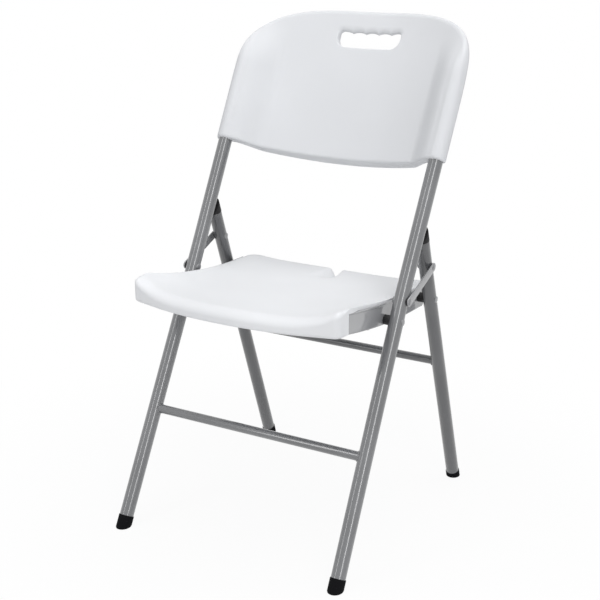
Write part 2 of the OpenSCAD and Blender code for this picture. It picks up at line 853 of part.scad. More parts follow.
module seat_screws() {
    color(zinc)
    for (x = [-seat_screw_x, seat_screw_x], v = [cross_front_v, cross_rear_v]) {
        head_z = min(rail_low(v - 4), rail_low(v + 4)) + rail_t;
        translate([x, seat_front_y + v, head_z])
        rotate_extrude()
        polygon([
            [0, -screw_head_h], [0.73 * screw_head_r, -screw_head_h], [screw_head_r, -screw_rim],
            [screw_head_r, 0], [screw_r, 0],
            [screw_r, under_z(v) - head_z + screw_in - 1], [0, under_z(v) - head_z + screw_in]
        ]);
    }
}

// ---- Rear frame ----

module rear_leg(side) {
    on_side(side)
    color(steel_grey)
    difference() {
        leg_core(leg_r, rear_start, leg_len);
        leg_core(leg_r - tube_wall, rear_start - 1, leg_len + 1);
        pin(leg_pivot, bore_r, leg_pivot.x - leg_d, leg_pivot.x + leg_d);
        pin(link_tail, bore_r, link_tail.x - leg_d, link_tail.x + leg_d);
    }
}

module rear_stretcher() {
    stretcher(rear_p(rear_bar_z), rear_bar_d / 2, leg_r, rear_dir);
}

module rear_foot(side) {
    on_side(side)
    foot_cap(rear_p(0), rear_dir, leg_r, rear_start, rear_cap_end, 2);
}

// How far the top caps stand out round the legs
cap_out = 0.4;

// Angled cap on top of a rear leg: its end lies along the upright of the open chair
module rear_top_cap(side) {
    on_side(side)
    color(black)
    difference() {
        union() {
            leg_core(leg_r + cap_out, leg_len + seat_gap, leg_len + block / 2);
            leg_core(leg_r - tube_wall - seat_gap, leg_len - plug_len, leg_len + 1);
        }
        on_upright()
        translate([0, tube_r + cap_gap - block, 0])
        cube([6 * block, 2 * block, 6 * block], center = true);
        pin(link_tail, rivet_r + 1, link_tail.x - leg_d, link_tail.x + leg_d);
    }
}

module leg_pivot_rivet(side) {
    on_side(side)
    color(steel_grey) {
        pin(leg_pivot, rivet_r, rail_x - rail_t - pin_over, leg_pivot.x + leg_r + pin_over);
        pin(leg_pivot, head_r, rail_x - rail_t - seat_gap - low_head_h, rail_x - rail_t - seat_gap);
        difference() {
            pin(leg_pivot, head_r, leg_pivot.x + leg_r - sunk, leg_pivot.x + leg_r + low_head_h);
            leg_core(leg_r + seat_gap, rear_start, leg_len);
        }
    }
}

module leg_pivot_bush(side) {
    on_side(side)
    color(black)
    difference() {
        pin(leg_pivot, bush_r, rail_x + run_gap, leg_pivot.x);
        pin(leg_pivot, bore_r, rail_x - 1, leg_pivot.x + 1);
        leg_core(leg_r + seat_gap, rear_start, leg_len);
    }
}

module link_tail_rivet(side) {
    on_side(side)
    color(steel_grey) {
        pin(link_tail, rivet_r, link_tail.x - leg_r - pin_over, link_tail.x + leg_r);
        difference() {
            pin(link_tail, head_r, link_tail.x - leg_r - low_head_h, link_tail.x - leg_r + sunk);
            leg_core(leg_r + seat_gap, rear_start, leg_len);
        }
    }
}

// ---- Links ----

module link_strap(side) {
    span = norm([link_tail.y - link_pivot.y, link_tail.z - link_pivot.z]);
    tilt = atan2(link_tail.z - link_pivot.z, link_tail.y - link_pivot.y);
    on_side(side)
    color(link_grey)
    translate([link_x, link_pivot.y, link_pivot.z])
    rotate([90, 0, 90])
    linear_extrude(height = link_t)
    rotate(tilt)
    difference() {
        union() {
            circle(d = link_w);
            translate([0, -link_w / 2])
            square([span, link_w]);
            translate([span, 0])
            circle(d = link_w);
        }
        circle(r = bore_r);
        translate([span, 0])
        circle(r = bore_r);
    }
}

// Rivet of the link's upper end, with its washer between strap and leg
module link_head(side) {
    inner = link_tail.x + leg_r + run_gap;
    on_side(side)
    color(steel_grey) {
        pin(link_tail, washer_r, inner, link_x - seat_gap);
        pin(link_tail, rivet_r, inner, link_x + link_t + 2 * pin_over);
        pin(link_tail, head_r, link_x + link_t + seat_gap, link_x + link_t + seat_gap + head_h);
    }
}

front_tube(-1);  // front_tube_left
front_tube(1);  // front_tube_right
front_stretcher();
front_foot(-1);  // front_foot_left
front_foot(1);  // front_foot_right
back_panel();
back_screws();
seat_pivot_rivet(-1);  // seat_pivot_rivet_left
seat_pivot_rivet(1);  // seat_pivot_rivet_right
seat_pivot_bush(-1);  // seat_pivot_bush_left
seat_pivot_bush(1);  // seat_pivot_bush_right
link_pivot_rivet(-1);  // link_pivot_rivet_left
link_pivot_rivet(1);  // link_pivot_rivet_right
link_washer(-1);  // link_washer_left
link_washer(1);  // link_washer_right
seat_shell();
seat_rail(-1);  // seat_rail_left
seat_rail(1);  // seat_rail_right
crossbar_front();
crossbar_rear();
crossbar_rivets();
seat_screws();
rear_leg(-1);  // rear_leg_left
rear_leg(1);  // rear_leg_right
rear_stretcher();
rear_foot(-1);  // rear_foot_left
rear_foot(1);  // rear_foot_right
rear_top_cap(-1);  // rear_top_cap_left
rear_top_cap(1);  // rear_top_cap_right
leg_pivot_rivet(-1);  // leg_pivot_rivet_left
leg_pivot_rivet(1);  // leg_pivot_rivet_right
leg_pivot_bush(-1);  // leg_pivot_bush_left
leg_pivot_bush(1);  // leg_pivot_bush_right
link_tail_rivet(-1);  // link_tail_rivet_left
link_tail_rivet(1);  // link_tail_rivet_right
link_strap(-1);  // link_strap_left
link_strap(1);  // link_strap_right
link_head(-1);  // link_head_left
link_head(1);  // link_head_right
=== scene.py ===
"""Folding chair: moulded white seat and back panel on a grey tube frame.

Every length inside a class is in millimetres, as in the part's own drawing, and becomes metres
when its mesh is made. The chair faces -Y, +X is its right-hand side and the floor is at Z 0.
"""

import logging
from collections.abc import Iterable
from dataclasses import dataclass
from enum import Enum
from math import cos, radians, sin, tan

import bpy
import numpy as np
from mathutils import Matrix, Vector


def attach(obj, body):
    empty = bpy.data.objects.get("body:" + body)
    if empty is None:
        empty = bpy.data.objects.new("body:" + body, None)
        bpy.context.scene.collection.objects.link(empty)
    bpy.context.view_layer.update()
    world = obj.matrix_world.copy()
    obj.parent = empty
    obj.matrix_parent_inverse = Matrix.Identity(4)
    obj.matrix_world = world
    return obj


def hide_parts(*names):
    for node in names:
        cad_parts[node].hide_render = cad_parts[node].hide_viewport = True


log = logging.getLogger("folding_chair")
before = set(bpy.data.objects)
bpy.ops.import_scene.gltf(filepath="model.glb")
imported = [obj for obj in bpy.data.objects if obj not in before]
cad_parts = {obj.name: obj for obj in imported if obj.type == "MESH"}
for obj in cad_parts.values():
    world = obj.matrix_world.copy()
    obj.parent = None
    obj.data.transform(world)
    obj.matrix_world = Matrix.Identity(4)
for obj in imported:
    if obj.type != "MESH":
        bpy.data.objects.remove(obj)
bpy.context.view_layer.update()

MM = 0.001
SHARP = 40.0
X_AXIS, _, Z_AXIS = np.eye(3)
Array = np.ndarray
Point = tuple[float, float]
Colour = tuple[float, float, float]
Object = bpy.types.Object


class Side(Enum):
    """The two sides of the chair, as the sign of X."""

    LEFT = -1
    RIGHT = 1

    @property
    def word(self) -> str:
        """Name of the side as the CAD nodes spell it."""
        return self.name.lower()


class Body(Enum):
    """The bodies that pieces ride on."""

    FRONT = "front_frame"
    SEAT = "seat"
    REAR = "rear_frame"
    LINK_LEFT = "link_left"
    LINK_RIGHT = "link_right"


# ---------------------------------------------------------------- numbers and curves


def unit(v: Iterable[float] | Array) -> Array:
    """Vector or rows of vectors scaled to length one."""
    v = np.asarray(v, float)
    return v / np.linalg.norm(v, axis=-1, keepdims=True)


def smooth(t: float | Array) -> Array:
    """Cubic step: 3t^2 - 2t^3 between 0 and 1, level outside."""
    c = np.clip(t, 0.0, 1.0)
    return c * c * (3 - 2 * c)


def mix(a: float | Array, b: float | Array, t: float | Array) -> Array:
    """Straight blend from a to b."""
    return a + (b - a) * t


def round_over(d: float | Array, r: float, power: float = 2.0) -> Array:
    """Share of the full height at a distance d from an edge that is rounded over r.

    Args:
        d: Distance from the edge.
        r: Width of the rounding.
        power: Exponent of the superellipse, 2 for a circle.

    Returns:
        (1 - (1 - d/r)^p)^(1/p), and 1 past the rounding.
    """
    share = np.clip(np.asarray(d, float) / r, 0.0, 1.0)
    return np.maximum(0.0, 1 - (1 - share) ** power) ** (1 / power)


def resample(curve: Array, count: int) -> Array:
    """Points at even arc length along a polyline.

    Args:
        curve: Points, one a row.
        count: How many points to return, without the last end.

    Returns:
        The new points, one a row.
    """
    run = np.concatenate([[0.0], np.cumsum(np.linalg.norm(np.diff(curve, axis=0), axis=1))])
    want = np.linspace(0, run[-1], count, endpoint=False)
    return np.stack([np.interp(want, run, curve[:, k]) for k in range(curve.shape[1])], axis=1)


# ---------------------------------------------------------------- meshes


def grid_faces(rows: int, cols: int, close_rows: bool, close_cols: bool) -> Array:
    """Quads of a grid whose vertex (r, c) has the number r * cols + c.

    Args:
        rows: Rows of vertices.
        cols: Columns of vertices.
        close_rows: Whether the last row joins the first.
        close_cols: Whether the last column joins the first.

    Returns:
        Four vertex numbers a row.
    """
    r, c = np.meshgrid(np.arange(rows - 1 + close_rows), np.arange(cols - 1 + close_cols), indexing="ij")
    r2, c2 = (r + 1) % rows, (c + 1) % cols
    return np.stack([r * cols + c, r * cols + c2, r2 * cols + c2, r2 * cols + c], axis=-1).reshape(-1, 4)


def signed_volume(points: Array, quads: Array, fans: Array) -> float:
    """Six times the signed volume inside a closed surface of quads and triangles."""
    tris = np.concatenate([quads[:, [0, 1, 2]], quads[:, [0, 2, 3]], fans])
    a, b, c = (points[tris[:, k]] for k in range(3))
    return float(np.einsum("ij,ij->i", a, np.cross(b, c)).sum())


def soften(mesh: bpy.types.Mesh, sharp: float) -> None:
    """Soft shading, with the edges from an angle in degrees kept sharp."""
    mesh.polygons.foreach_set("use_smooth", np.ones(len(mesh.polygons), bool))
    mesh.set_sharp_from_angle(angle=radians(sharp))


def new_object(name: str, points: Array, faces: list[list[int]], sharp: float = SHARP) -> Object:
    """Softly shaded object at the origin, from points in metres and the vertex numbers of its faces."""
    mesh = bpy.data.meshes.new(name)
    mesh.from_pydata(points.tolist(), [], faces)
    soften(mesh, sharp)
    mesh.update()
    piece = bpy.data.objects.new(name, mesh)
    bpy.context.scene.collection.objects.link(piece)
    return piece


def loft(name: str, rings: Array, close_rows: bool = False, sharp: float = SHARP) -> Object:
    """Closed surface through rings of points, with its faces turned outwards.

    Args:
        name: Name of the piece.
        rings: Array (rings, points, 3) in millimetres; each ring closes on itself.
        close_rows: Whether the last ring joins the first, as on a tube with a wall. Otherwise a fan to
            the ring's middle closes the first and the last ring.
        sharp: Angle in degrees from which an edge stays sharp.

    Returns:
        The object.
    """
    rows, cols, _ = rings.shape
    points, quads = rings.reshape(-1, 3), grid_faces(rows, cols, close_rows, True)
    fans = np.zeros((0, 3), int)
    if not close_rows:
        k = np.arange(cols)
        n = (k + 1) % cols
        points = np.concatenate([points, rings[0].mean(0)[None], rings[-1].mean(0)[None]])
        first, base = np.full(cols, rows * cols), (rows - 1) * cols
        fans = np.concatenate([np.stack([first, n, k], 1), np.stack([first + 1, base + k, base + n], 1)])
    if signed_volume(points, quads, fans) < 0:
        quads, fans = quads[:, ::-1], fans[:, ::-1]
    return new_object(name, points * MM, quads.tolist() + fans.tolist(), sharp)


def around(axis: Array, toward: Array, sides: int) -> Array:
    """Unit vectors at even angles round an axis, one a row: cos(a) e1 + sin(a) e2, from toward on."""
    e1 = unit(toward - axis * (axis @ toward))
    a = np.linspace(0, 2 * np.pi, sides, endpoint=False)[:, None]
    return np.cos(a) * e1 + np.sin(a) * np.cross(axis, e1)


def mirrored(points: Array, side: Side) -> Array:
    """Points made for the right side, or reflected in X for the left."""
    return points * np.array([side.value, 1.0, 1.0])


def join(name: str, parts: list[Object]) -> Object:
    """One object from several loose shells, each closed for itself, which are removed."""
    verts, faces, count = [], [], 0
    for part in parts:
        mesh = part.data
        co = np.zeros(len(mesh.vertices) * 3)
        mesh.vertices.foreach_get("co", co)
        verts.append(co.reshape(-1, 3))
        faces += [[v + count for v in p.vertices] for p in mesh.polygons]
        count += len(mesh.vertices)
        bpy.data.objects.remove(part)
    return new_object(name, np.concatenate(verts), faces)


def cut_away(piece: Object, cutters: list[Object], sharp: float) -> Object:
    """Subtracts closed cutters from a closed piece and removes them.

    Args:
        piece: The piece that is cut.
        cutters: Closed objects at the origin.
        sharp: Angle in degrees from which an edge stays sharp.

    Returns:
        The same object with its new mesh.
    """
    for cutter in cutters:
        step = piece.modifiers.new("cut", "BOOLEAN")
        step.operation, step.solver, step.object = "DIFFERENCE", "EXACT", cutter
    graph = bpy.context.evaluated_depsgraph_get()
    mesh = bpy.data.meshes.new_from_object(piece.evaluated_get(graph), depsgraph=graph)
    piece.modifiers.clear()
    piece.data = mesh
    soften(mesh, sharp)
    for cutter in cutters:
        bpy.data.objects.remove(cutter)
    return piece


# ---------------------------------------------------------------- shader language


class Sock:
    """A shader socket with arithmetic: an expression on it adds Math nodes."""

    def __init__(self, tree: "Shader", socket: bpy.types.NodeSocket) -> None:
        """Wraps one output socket of a node tree."""
        self.tree, self.socket = tree, socket

    def _math(self, operation: str, *values: object) -> "Sock":
        """One Math node with that operation."""
        return self.tree.add("ShaderNodeMath", {"operation": operation}, *values)

    def __add__(self, other: object) -> "Sock":
        """Sum."""
        return self._math("ADD", self, other)

    __radd__ = __add__

    def __mul__(self, other: object) -> "Sock":
        """Product."""
        return self._math("MULTIPLY", self, other)

    __rmul__ = __mul__

    def __sub__(self, other: object) -> "Sock":
        """Difference."""
        return self._math("SUBTRACT", self, other)

    def __rsub__(self, other: object) -> "Sock":
        """Difference from a number."""
        return self._math("SUBTRACT", other, self)

    def between(self, low: float, high: float) -> "Sock":
        """Smooth step from 0 at low to 1 at high."""
        kind = {"interpolation_type": "SMOOTHSTEP"}
        return self.tree.add("ShaderNodeMapRange", kind, self, low, high, 0.0, 1.0)


class Shader:
    """Node tree of one material or world."""

    def __init__(self, owner: bpy.types.Material | bpy.types.World) -> None:
        """Empties the tree of a new material or world."""
        owner.use_nodes = True
        self.owner = owner
        self.nodes, self.links = owner.node_tree.nodes, owner.node_tree.links
        self.nodes.clear()

    @classmethod
    def material(cls, name: str) -> "Shader":
        """Starts an empty material with that name."""
        return cls(bpy.data.materials.new(name))

    def raw(self, kind: str, settings: dict[str, object], *values: object, **named: object) -> bpy.types.Node:
        """Adds a node, sets it and fills its inputs.

        Args:
            kind: Blender's type of the node.
            settings: Properties, set first; the key "stops" gives a ramp's (place, colour) pairs.
            values: Numbers, colours or sockets for the enabled inputs in order; None leaves one alone.
            named: The same by input name, with _ for a space.

        Returns:
            The node.
        """
        node = self.nodes.new(kind)
        stops = settings.pop("stops", None)
        for key, value in settings.items():
            setattr(node, key, value)
        if stops:
            ramp = node.color_ramp
            while len(ramp.elements) < len(stops):
                ramp.elements.new(0.5)
            for element, (place, colour) in zip(ramp.elements, stops, strict=True):
                element.position, element.color = place, (*colour, 1.0)
        enabled = [s for s in node.inputs if s.enabled]
        pairs = list(zip(enabled, values, strict=False))
        pairs += [(next(s for s in enabled if s.name == k.replace("_", " ")), v) for k, v in named.items()]
        for socket, value in pairs:
            if isinstance(value, Sock):
                self.links.new(value.socket, socket)
            elif value is not None:
                socket.default_value = (*value, 1.0) if socket.type == "RGBA" and len(value) == 3 else value
        return node

    def add(self, kind: str, settings: dict[str, object], *values: object, **named: object) -> Sock:
        """Adds a node as raw does and returns its first enabled output."""
        node = self.raw(kind, settings, *values, **named)
        return Sock(self, next(s for s in node.outputs if s.enabled))

    def place(self) -> Sock:
        """Object coordinates in metres."""
        return Sock(self, self.raw("ShaderNodeTexCoord", {}).outputs["Object"])

    def noise(self, where: Sock, scale: float, detail: float = 2.0, rough: float = 0.5) -> Sock:
        """Noise value around 0.5, with cells of about 1/scale metres."""
        return self.add("ShaderNodeTexNoise", {}, Vector=where, Scale=scale, Detail=detail, Roughness=rough)

    def rays(self) -> list[Sock]:
        """1 for rays from the camera, from a reflection and through glass, each by itself."""
        path = self.raw("ShaderNodeLightPath", {})
        return [Sock(self, path.outputs[f"Is {kind} Ray"]) for kind in ("Camera", "Glossy", "Transmission")]

    def blend(self, share: object, a: object, b: object) -> Sock:
        """Colour from a to b by a share."""
        return self.add("ShaderNodeMix", {"data_type": "RGBA"}, share, a, b)

    def bump(self, height: Sock, strength: float, distance: float) -> Sock:
        """Normal from a height between 0 and 1 that stands for that distance in metres."""
        return self.add("ShaderNodeBump", {}, Strength=strength, Distance=distance, Height=height)

    def finish(self, kind: str = "ShaderNodeBsdfPrincipled", **inputs: object) -> bpy.types.Material:
        """Ends the tree with a surface shader and returns the material."""
        surface = self.add(kind, {}, **inputs)
        self.raw("ShaderNodeOutputMaterial", {}, surface)
        return self.owner


def shade(colour: Colour, share: float) -> Colour:
    """Colour times a share."""
    return tuple(c * share for c in colour)


@dataclass(frozen=True)
class PowderCoat:
    """Satin powder coat: fine orange peel, faint cloudiness and paint that thins at random spots."""

    name: str
    colour: Colour
    peel: float = 1400.0
    rough_low: float = 0.34
    rough_high: float = 0.46
    cloud: float = 9.0
    smear: float = 60.0
    coat: float = 1.0
    coat_ior: float = 1.8
    coat_rough: float = 0.09

    def build(self) -> bpy.types.Material:
        """Makes the material."""
        s = Shader.material(self.name)
        where = s.place()
        grain = s.noise(where, self.peel, 2.0, 0.55)
        cloud = s.noise(where, self.cloud, 3.0).between(0.35, 0.65)
        tone = s.blend(cloud, shade(self.colour, 0.88), shade(self.colour, 1.10))
        tone = s.blend(grain.between(0.62, 0.80) * 0.35, tone, shade(self.colour, 1.35))
        rough = self.rough_low + (self.rough_high - self.rough_low) * s.noise(where, self.smear, 3.0)
        return s.finish(
            Base_Color=tone,
            Roughness=rough,
            IOR=1.52,
            Coat_Weight=self.coat,
            Coat_IOR=self.coat_ior,
            Coat_Roughness=self.coat_rough,
            Normal=s.bump(grain, 0.12, 0.00020),
        )


@dataclass(frozen=True)
class MouldedPlastic:
    """Blow-moulded polyethylene: pebbled fine texture, slightly waxy, with faint flow clouds."""

    name: str
    colour: Colour
    pebble: float = 900.0
    wave: float = 38.0
    flow: float = 5.0
    scuff: float = 240.0
    roughness: float = 0.60

    def build(self) -> bpy.types.Material:
        """Makes the material."""
        s = Shader.material(self.name)
        where = s.place()
        flow = s.noise(where, self.flow).between(0.35, 0.7)
        tone = s.blend(flow, self.colour, shade(self.colour, 0.968))
        rough = (self.roughness - 0.05) + 0.10 * s.noise(where, self.scuff)
        height = s.noise(where, self.pebble, 2.0, 0.6) * 0.82 + s.noise(where, self.wave) * 0.18
        return s.finish(
            Base_Color=tone,
            Roughness=rough,
            IOR=1.50,
            Specular_IOR_Level=0.25,
            Subsurface_Weight=0.06,
            Subsurface_Radius=(0.9, 0.95, 1.0),
            Subsurface_Scale=0.004,
            Normal=s.bump(height, 0.16, 0.0003),
        )


@dataclass(frozen=True)
class BlackRubber:
    """Moulded rubber or soft plastic: matt with a fine grain and a little dust on it."""

    name: str
    colour: Colour
    roughness: float = 0.66
    dust: float = 0.03
    ior: float = 1.3
    grain: float = 1100.0
    patch: float = 75.0
    dust_colour: Colour = (0.16, 0.16, 0.155)

    def build(self) -> bpy.types.Material:
        """Makes the material."""
        s = Shader.material(self.name)
        where = s.place()
        patches = s.noise(where, self.patch, 4.0).between(0.48, 0.78)
        tone = s.blend(patches * self.dust, self.colour, self.dust_colour)
        rough = self.roughness + 0.12 * patches
        bump = s.bump(s.noise(where, self.grain, 3.0, 0.6), 0.30, 0.0003)
        return s.finish(Base_Color=tone, Roughness=rough, IOR=self.ior, Normal=bump)


@dataclass(frozen=True)
class PlatedSteel:
    """Zinc plate on a screw: bright, with dull spots and a faintly uneven skin."""

    name: str
    colour: Colour
    spot: float = 420.0

    def build(self) -> bpy.types.Material:
        """Makes the material."""
        s = Shader.material(self.name)
        spots = s.noise(s.place(), self.spot, 3.0)
        tone = s.blend(spots.between(0.35, 0.7), self.colour, shade(self.colour, 0.8))
        rough = 0.26 + 0.20 * spots
        return s.finish(Base_Color=tone, Roughness=rough, Metallic=1.0, Normal=s.bump(spots, 0.12, 0.0002))


class Finish(Enum):
    """The chair's finishes, among them copies of the frame paint and the plastic made darker or lighter as
    painted shade and painted light.
    """

    FRAME = PowderCoat("powder_coat_grey", (0.110, 0.113, 0.119))
    # Painted shade: a darker copy of the frame's paint for the rear legs and bar, which stand in the seat's
    # shadow.
    REAR = PowderCoat("powder_coat_rear", (0.085, 0.087, 0.092), coat_ior=1.55)
    # Painted light: a lighter copy of the frame's paint for the seat rails, whose flat outer faces catch the
    # light from the right.
    RAIL = PowderCoat("powder_coat_sheet", (0.325, 0.330, 0.341))
    LINK = PowderCoat("powder_coat_light", (0.240, 0.244, 0.252))
    RIVET = PowderCoat("rivet_paint", (0.155, 0.158, 0.165), 1800.0, 0.30, 0.42)
    SEAT = MouldedPlastic("seat_polyethylene", (0.795, 0.807, 0.821))
    # Painted shade: a darker copy of the seat's plastic for the back panel, which faces forward and gets less
    # light from above than the seat.
    BACK = MouldedPlastic("back_polyethylene", (0.682, 0.694, 0.710))
    RUBBER = BlackRubber("cap_rubber", (0.006, 0.006, 0.007), 0.72, 0.01, 1.15)
    BUSH = BlackRubber("black_nylon", (0.020, 0.020, 0.021), 0.50, 0.02)
    ZINC = PlatedSteel("zinc_plate", (0.66, 0.67, 0.68))

    @property
    def material(self) -> bpy.types.Material:
        """The finish as a material, made on first use."""
        return bpy.data.materials.get(self.value.name) or self.value.build()


def dress(piece: Object, finish: Finish) -> None:
    """Puts a finish on a whole object."""
    piece.data.materials.clear()
    piece.data.materials.append(finish.material)


def place(piece: Object, body: Body, finish: Finish, node: str) -> None:
    """Dresses a new piece, lets it ride on its body and stand for its CAD node.

    Args:
        piece: The finished object.
        body: Body it moves with.
        finish: Its finish.
        node: CAD node that it stands for.
    """
    dress(piece, finish)
    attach(piece, body.value)
    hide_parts(node)
    log.info("%s: %d faces, for %s", piece.name, len(piece.data.polygons), node)


# ---------------------------------------------------------------- the frame's axes


@dataclass(frozen=True)
class Layout:
    """Driving lines of the open chair, with the pivots on them, for the right side."""

    tube_r: float = 12.5
    leg_r: float = 12.0
    wall: float = 1.2
    front_foot: Point = (214.5, -261.5)
    front_lean: float = 28.07
    front_splay: float = 0.64
    bend_z: float = 436.0
    upright_lean: float = 28.65
    upright_flare: float = 0.63
    upright_len: float = 398.0
    rear_foot: Point = (209.25, 224.7)
    rear_lean: float = 19.75
    rear_flare: float = 0.19
    leg_top_z: float = 512.0
    seat_pivot_z: float = 395.0
    leg_pivot_z: float = 398.6
    link_pivot_z: float = 426.2
    link_tail_z: float = 463.5
    sole: float = 3.0
    bush_len: float = 9.0
    washer: float = 1.9
    rail_t: float = 2.0
    head_r: float = 5.8
    head_h: float = 1.4
    low_head: float = 1.2
    bush_r: float = 8.5
    washer_r: float = 6.8
    shank_r: float = 4.0
    bite: float = 1.9
    tuck: float = 0.4
    bush_bite: float = 3.2
    bush_gap: float = 0.35
    washer_bite: float = 2.4
    washer_edge: float = 0.3
    strap_t: float = 2.5
    gap: float = 0.05

    def front(self, z: float) -> Array:
        """Point of a front tube's axis at a height below the bend."""
        x, y = self.front_foot
        return np.array([x - z * tan(radians(self.front_splay)), y + z * tan(radians(self.front_lean)), z])

    def rear(self, z: float) -> Array:
        """Point of a rear leg's axis at a height."""
        x, y = self.rear_foot
        return np.array([x + z * tan(radians(self.rear_flare)), y - z * tan(radians(self.rear_lean)), z])

    @property
    def bend(self) -> Array:
        """The bend of a front tube."""
        return self.front(self.bend_z)

    @property
    def lower_dir(self) -> Array:
        """Unit vector up along the lower part of a front tube."""
        return unit(self.front(1) - self.front(0))

    @property
    def upper_dir(self) -> Array:
        """Unit vector up along an upright."""
        lean, flare = radians(self.upright_lean), radians(self.upright_flare)
        return np.array([sin(flare), cos(flare) * sin(lean), cos(flare) * cos(lean)])

    @property
    def rail_x(self) -> float:
        """Outer face of a seat rail."""
        return float(self.front(self.seat_pivot_z)[0]) - self.tube_r - self.bush_len

    @property
    def link_x(self) -> float:
        """Inner face of a link strap."""
        return float(self.front(self.link_pivot_z)[0]) + self.tube_r + self.washer

    def on_upright(self, x: Array, o: Array, s: Array) -> Array:
        """World points from the frame of the uprights: s up along them from the bend, o to the rear.

        Returns:
            (x, bend.y + o cos + s sin, bend.z - o sin + s cos) of the uprights' lean.
        """
        c, n = cos(radians(self.upright_lean)), sin(radians(self.upright_lean))
        x, o, s = np.broadcast_arrays(x, o, s)
        return np.stack([x, self.bend[1] + o * c + s * n, self.bend_z - o * n + s * c], axis=-1)


LAY = Layout()


def tube_rings(path: Array, radii: Array, sides: int = 64) -> Array:
    """Rings round a path.

    Args:
        path: Points of the axis.
        radii: Radius at each point.
        sides: Points round each ring.

    Returns:
        Array (points, sides, 3): path + radius * (cos a * n1 + sin a * n2), with n1 as near to X as it
        can be, or to Z on a path along X.
    """
    tangent = unit(np.gradient(path, axis=0))
    across = Z_AXIS if abs(tangent[0, 0]) > 0.9 else X_AXIS
    n1 = unit(across - tangent * (tangent @ across)[:, None])
    n2 = np.cross(tangent, n1)
    a = np.linspace(0, 2 * np.pi, sides, endpoint=False)[None, :, None]
    return path[:, None] + radii[:, None, None] * (np.cos(a) * n1[:, None] + np.sin(a) * n2[:, None])


def walled_tube(name: str, path: Array, radius: float, side: Side) -> Object:
    """Open tube with a wall and softly broken rims, along a path given for the right side."""
    lip = 0.3
    outer = np.full(len(path), radius)
    outer[[0, -1]] = radius - lip
    bore = tube_rings(path, np.full(len(path), radius - LAY.wall))[::-1]
    return loft(name, mirrored(np.concatenate([tube_rings(path, outer), bore]), side), close_rows=True)


def straight_bar(name: str, end: Array, radius: float) -> Object:
    """Solid round bar along X between two tubes' axes."""
    inset, sides = 10, 56
    x = np.concatenate([[-end[0]], np.linspace(inset - end[0], end[0] - inset, 9), [end[0]]])
    path = np.stack([x, np.full_like(x, end[1]), np.full_like(x, end[2])], axis=1)
    return loft(name, tube_rings(path, np.full(len(x), radius), sides))


def weld_bead(end: Array, bar_r: float, tube_dir: Array, tube_r: float, side: Side) -> Object:
    """Fillet of weld round a bar's end on a tube.

    The bead follows the line where the bar of radius bar_r along X meets the tube, as
    x = end.x - sqrt(tube_r^2 - d^2) with d the distance from the tube's axis. Two ripples run along it.

    Args:
        end: Point where the bar's axis meets the tube's axis.
        bar_r: Outer radius of the bar.
        tube_dir: Unit vector along the tube.
        tube_r: Outer radius of the tube.
        side: Side of the chair.

    Returns:
        The object.
    """
    bead_r, flat, count = 1.75, 0.9, 120
    a = np.linspace(0, 2 * np.pi, count, endpoint=False)
    out = around(X_AXIS, Z_AXIS, count)
    d = bar_r * out @ unit(np.cross(tube_dir, X_AXIS))
    reach = np.sqrt(np.maximum(tube_r**2 - d**2, 0.1))
    lean_x = -(bar_r * out @ tube_dir) * tube_dir[0]
    seam = end + bar_r * out - (reach + lean_x)[:, None] * X_AXIS
    body = bead_r + 0.25 * np.sin(a * 17) + 0.12 * np.sin(a * 41 + 1.0)
    b = np.linspace(0, 2 * np.pi, 12, endpoint=False)[None, :, None]
    section = np.cos(b) * out[:, None] * flat - np.sin(b) * X_AXIS
    rings = seam[:, None] + body[:, None, None] * section
    return loft(f"weld_{side.word}", mirrored(rings, side), close_rows=True)


def foot_cap(
    name: str, at_floor: Array, axis: Array, radius: float, end: float, grooves: int, side: Side
) -> Object:
    """Rubber cap on the lower end of a tube, cut level by the floor.

    A ring of radius r lies on the floor where t = -(r e(a)).z / axis.z, so the first rows are counted
    from there; the rows of the sleeve are counted along the axis.

    Args:
        name: Name of the piece.
        at_floor: Where the tube's axis meets the floor.
        axis: Unit vector up the tube.
        radius: Outer radius of the tube.
        end: Distance along the axis at which the sleeve ends.
        grooves: Number of grooves round the sleeve.
        side: Side of the chair.

    Returns:
        The object.
    """
    out_r, bore_r, lip = radius + 0.9, radius + 0.02, 2.0
    pitch, half, deep = 3, 0.75, 0.5
    e = around(axis, X_AXIS, 72)

    def on_floor(r: float, lift: float) -> Array:
        """Ring at a height above the floor."""
        t = (lift - (r * e)[:, 2]) / axis[2]
        return at_floor + r * e + t[:, None] * axis

    def level(r: float, t: float) -> Array:
        """Ring square to the axis."""
        return at_floor + r * e + t * axis

    sole = ((out_r * 0.55, 0.0), (out_r - 1.5, 0.0), (out_r - 0.45, 0.4), (out_r, 1.4))
    groove = ((0.0, -half), (deep, -deep), (deep, deep), (0.0, half))
    mids = [end - pitch * (k + 1) for k in reversed(range(grooves))]
    rim = ((out_r, end - 0.7), (out_r - 0.2, end - 0.2), (out_r - 0.6, end), (bore_r, end - 0.02))
    rows = [on_floor(r, lift) for r, lift in sole]
    rows += [level(out_r - inset, mid + off) for mid in mids for inset, off in groove]
    rows += [level(r, t) for r, t in (*rim, (bore_r, end - lip), (radius - 3.0, end - lip))]
    return loft(name, mirrored(np.stack(rows), side))


def rivet_head(start: float, end: float, dome: float = 0.8) -> Array:
    """Profile of a low domed rivet head between two heights, its crown towards end.

    Args:
        start: Height of its seat.
        end: Height of its crown.
        dome: How much of the height is dome.

    Returns:
        Rows of (height, radius); over the dome the radius is head_r * sqrt(1 - q^2).
    """
    r, way = LAY.head_r, np.sign(end - start)
    edge = 0.15
    q = np.linspace(0, 0.97, 9)
    foot = [[start, r * 0.7], [start, r - edge], [start + way * edge, r]]
    crown = np.stack([end - way * dome + way * dome * q, r * np.sqrt(1 - q**2)], 1)
    return np.concatenate([foot, crown, [[end, r * 0.16]]])


def shank(start: float, end: float) -> Array:
    """Profile of a rivet's shank."""
    return np.array([[start, LAY.shank_r], [end, LAY.shank_r]])


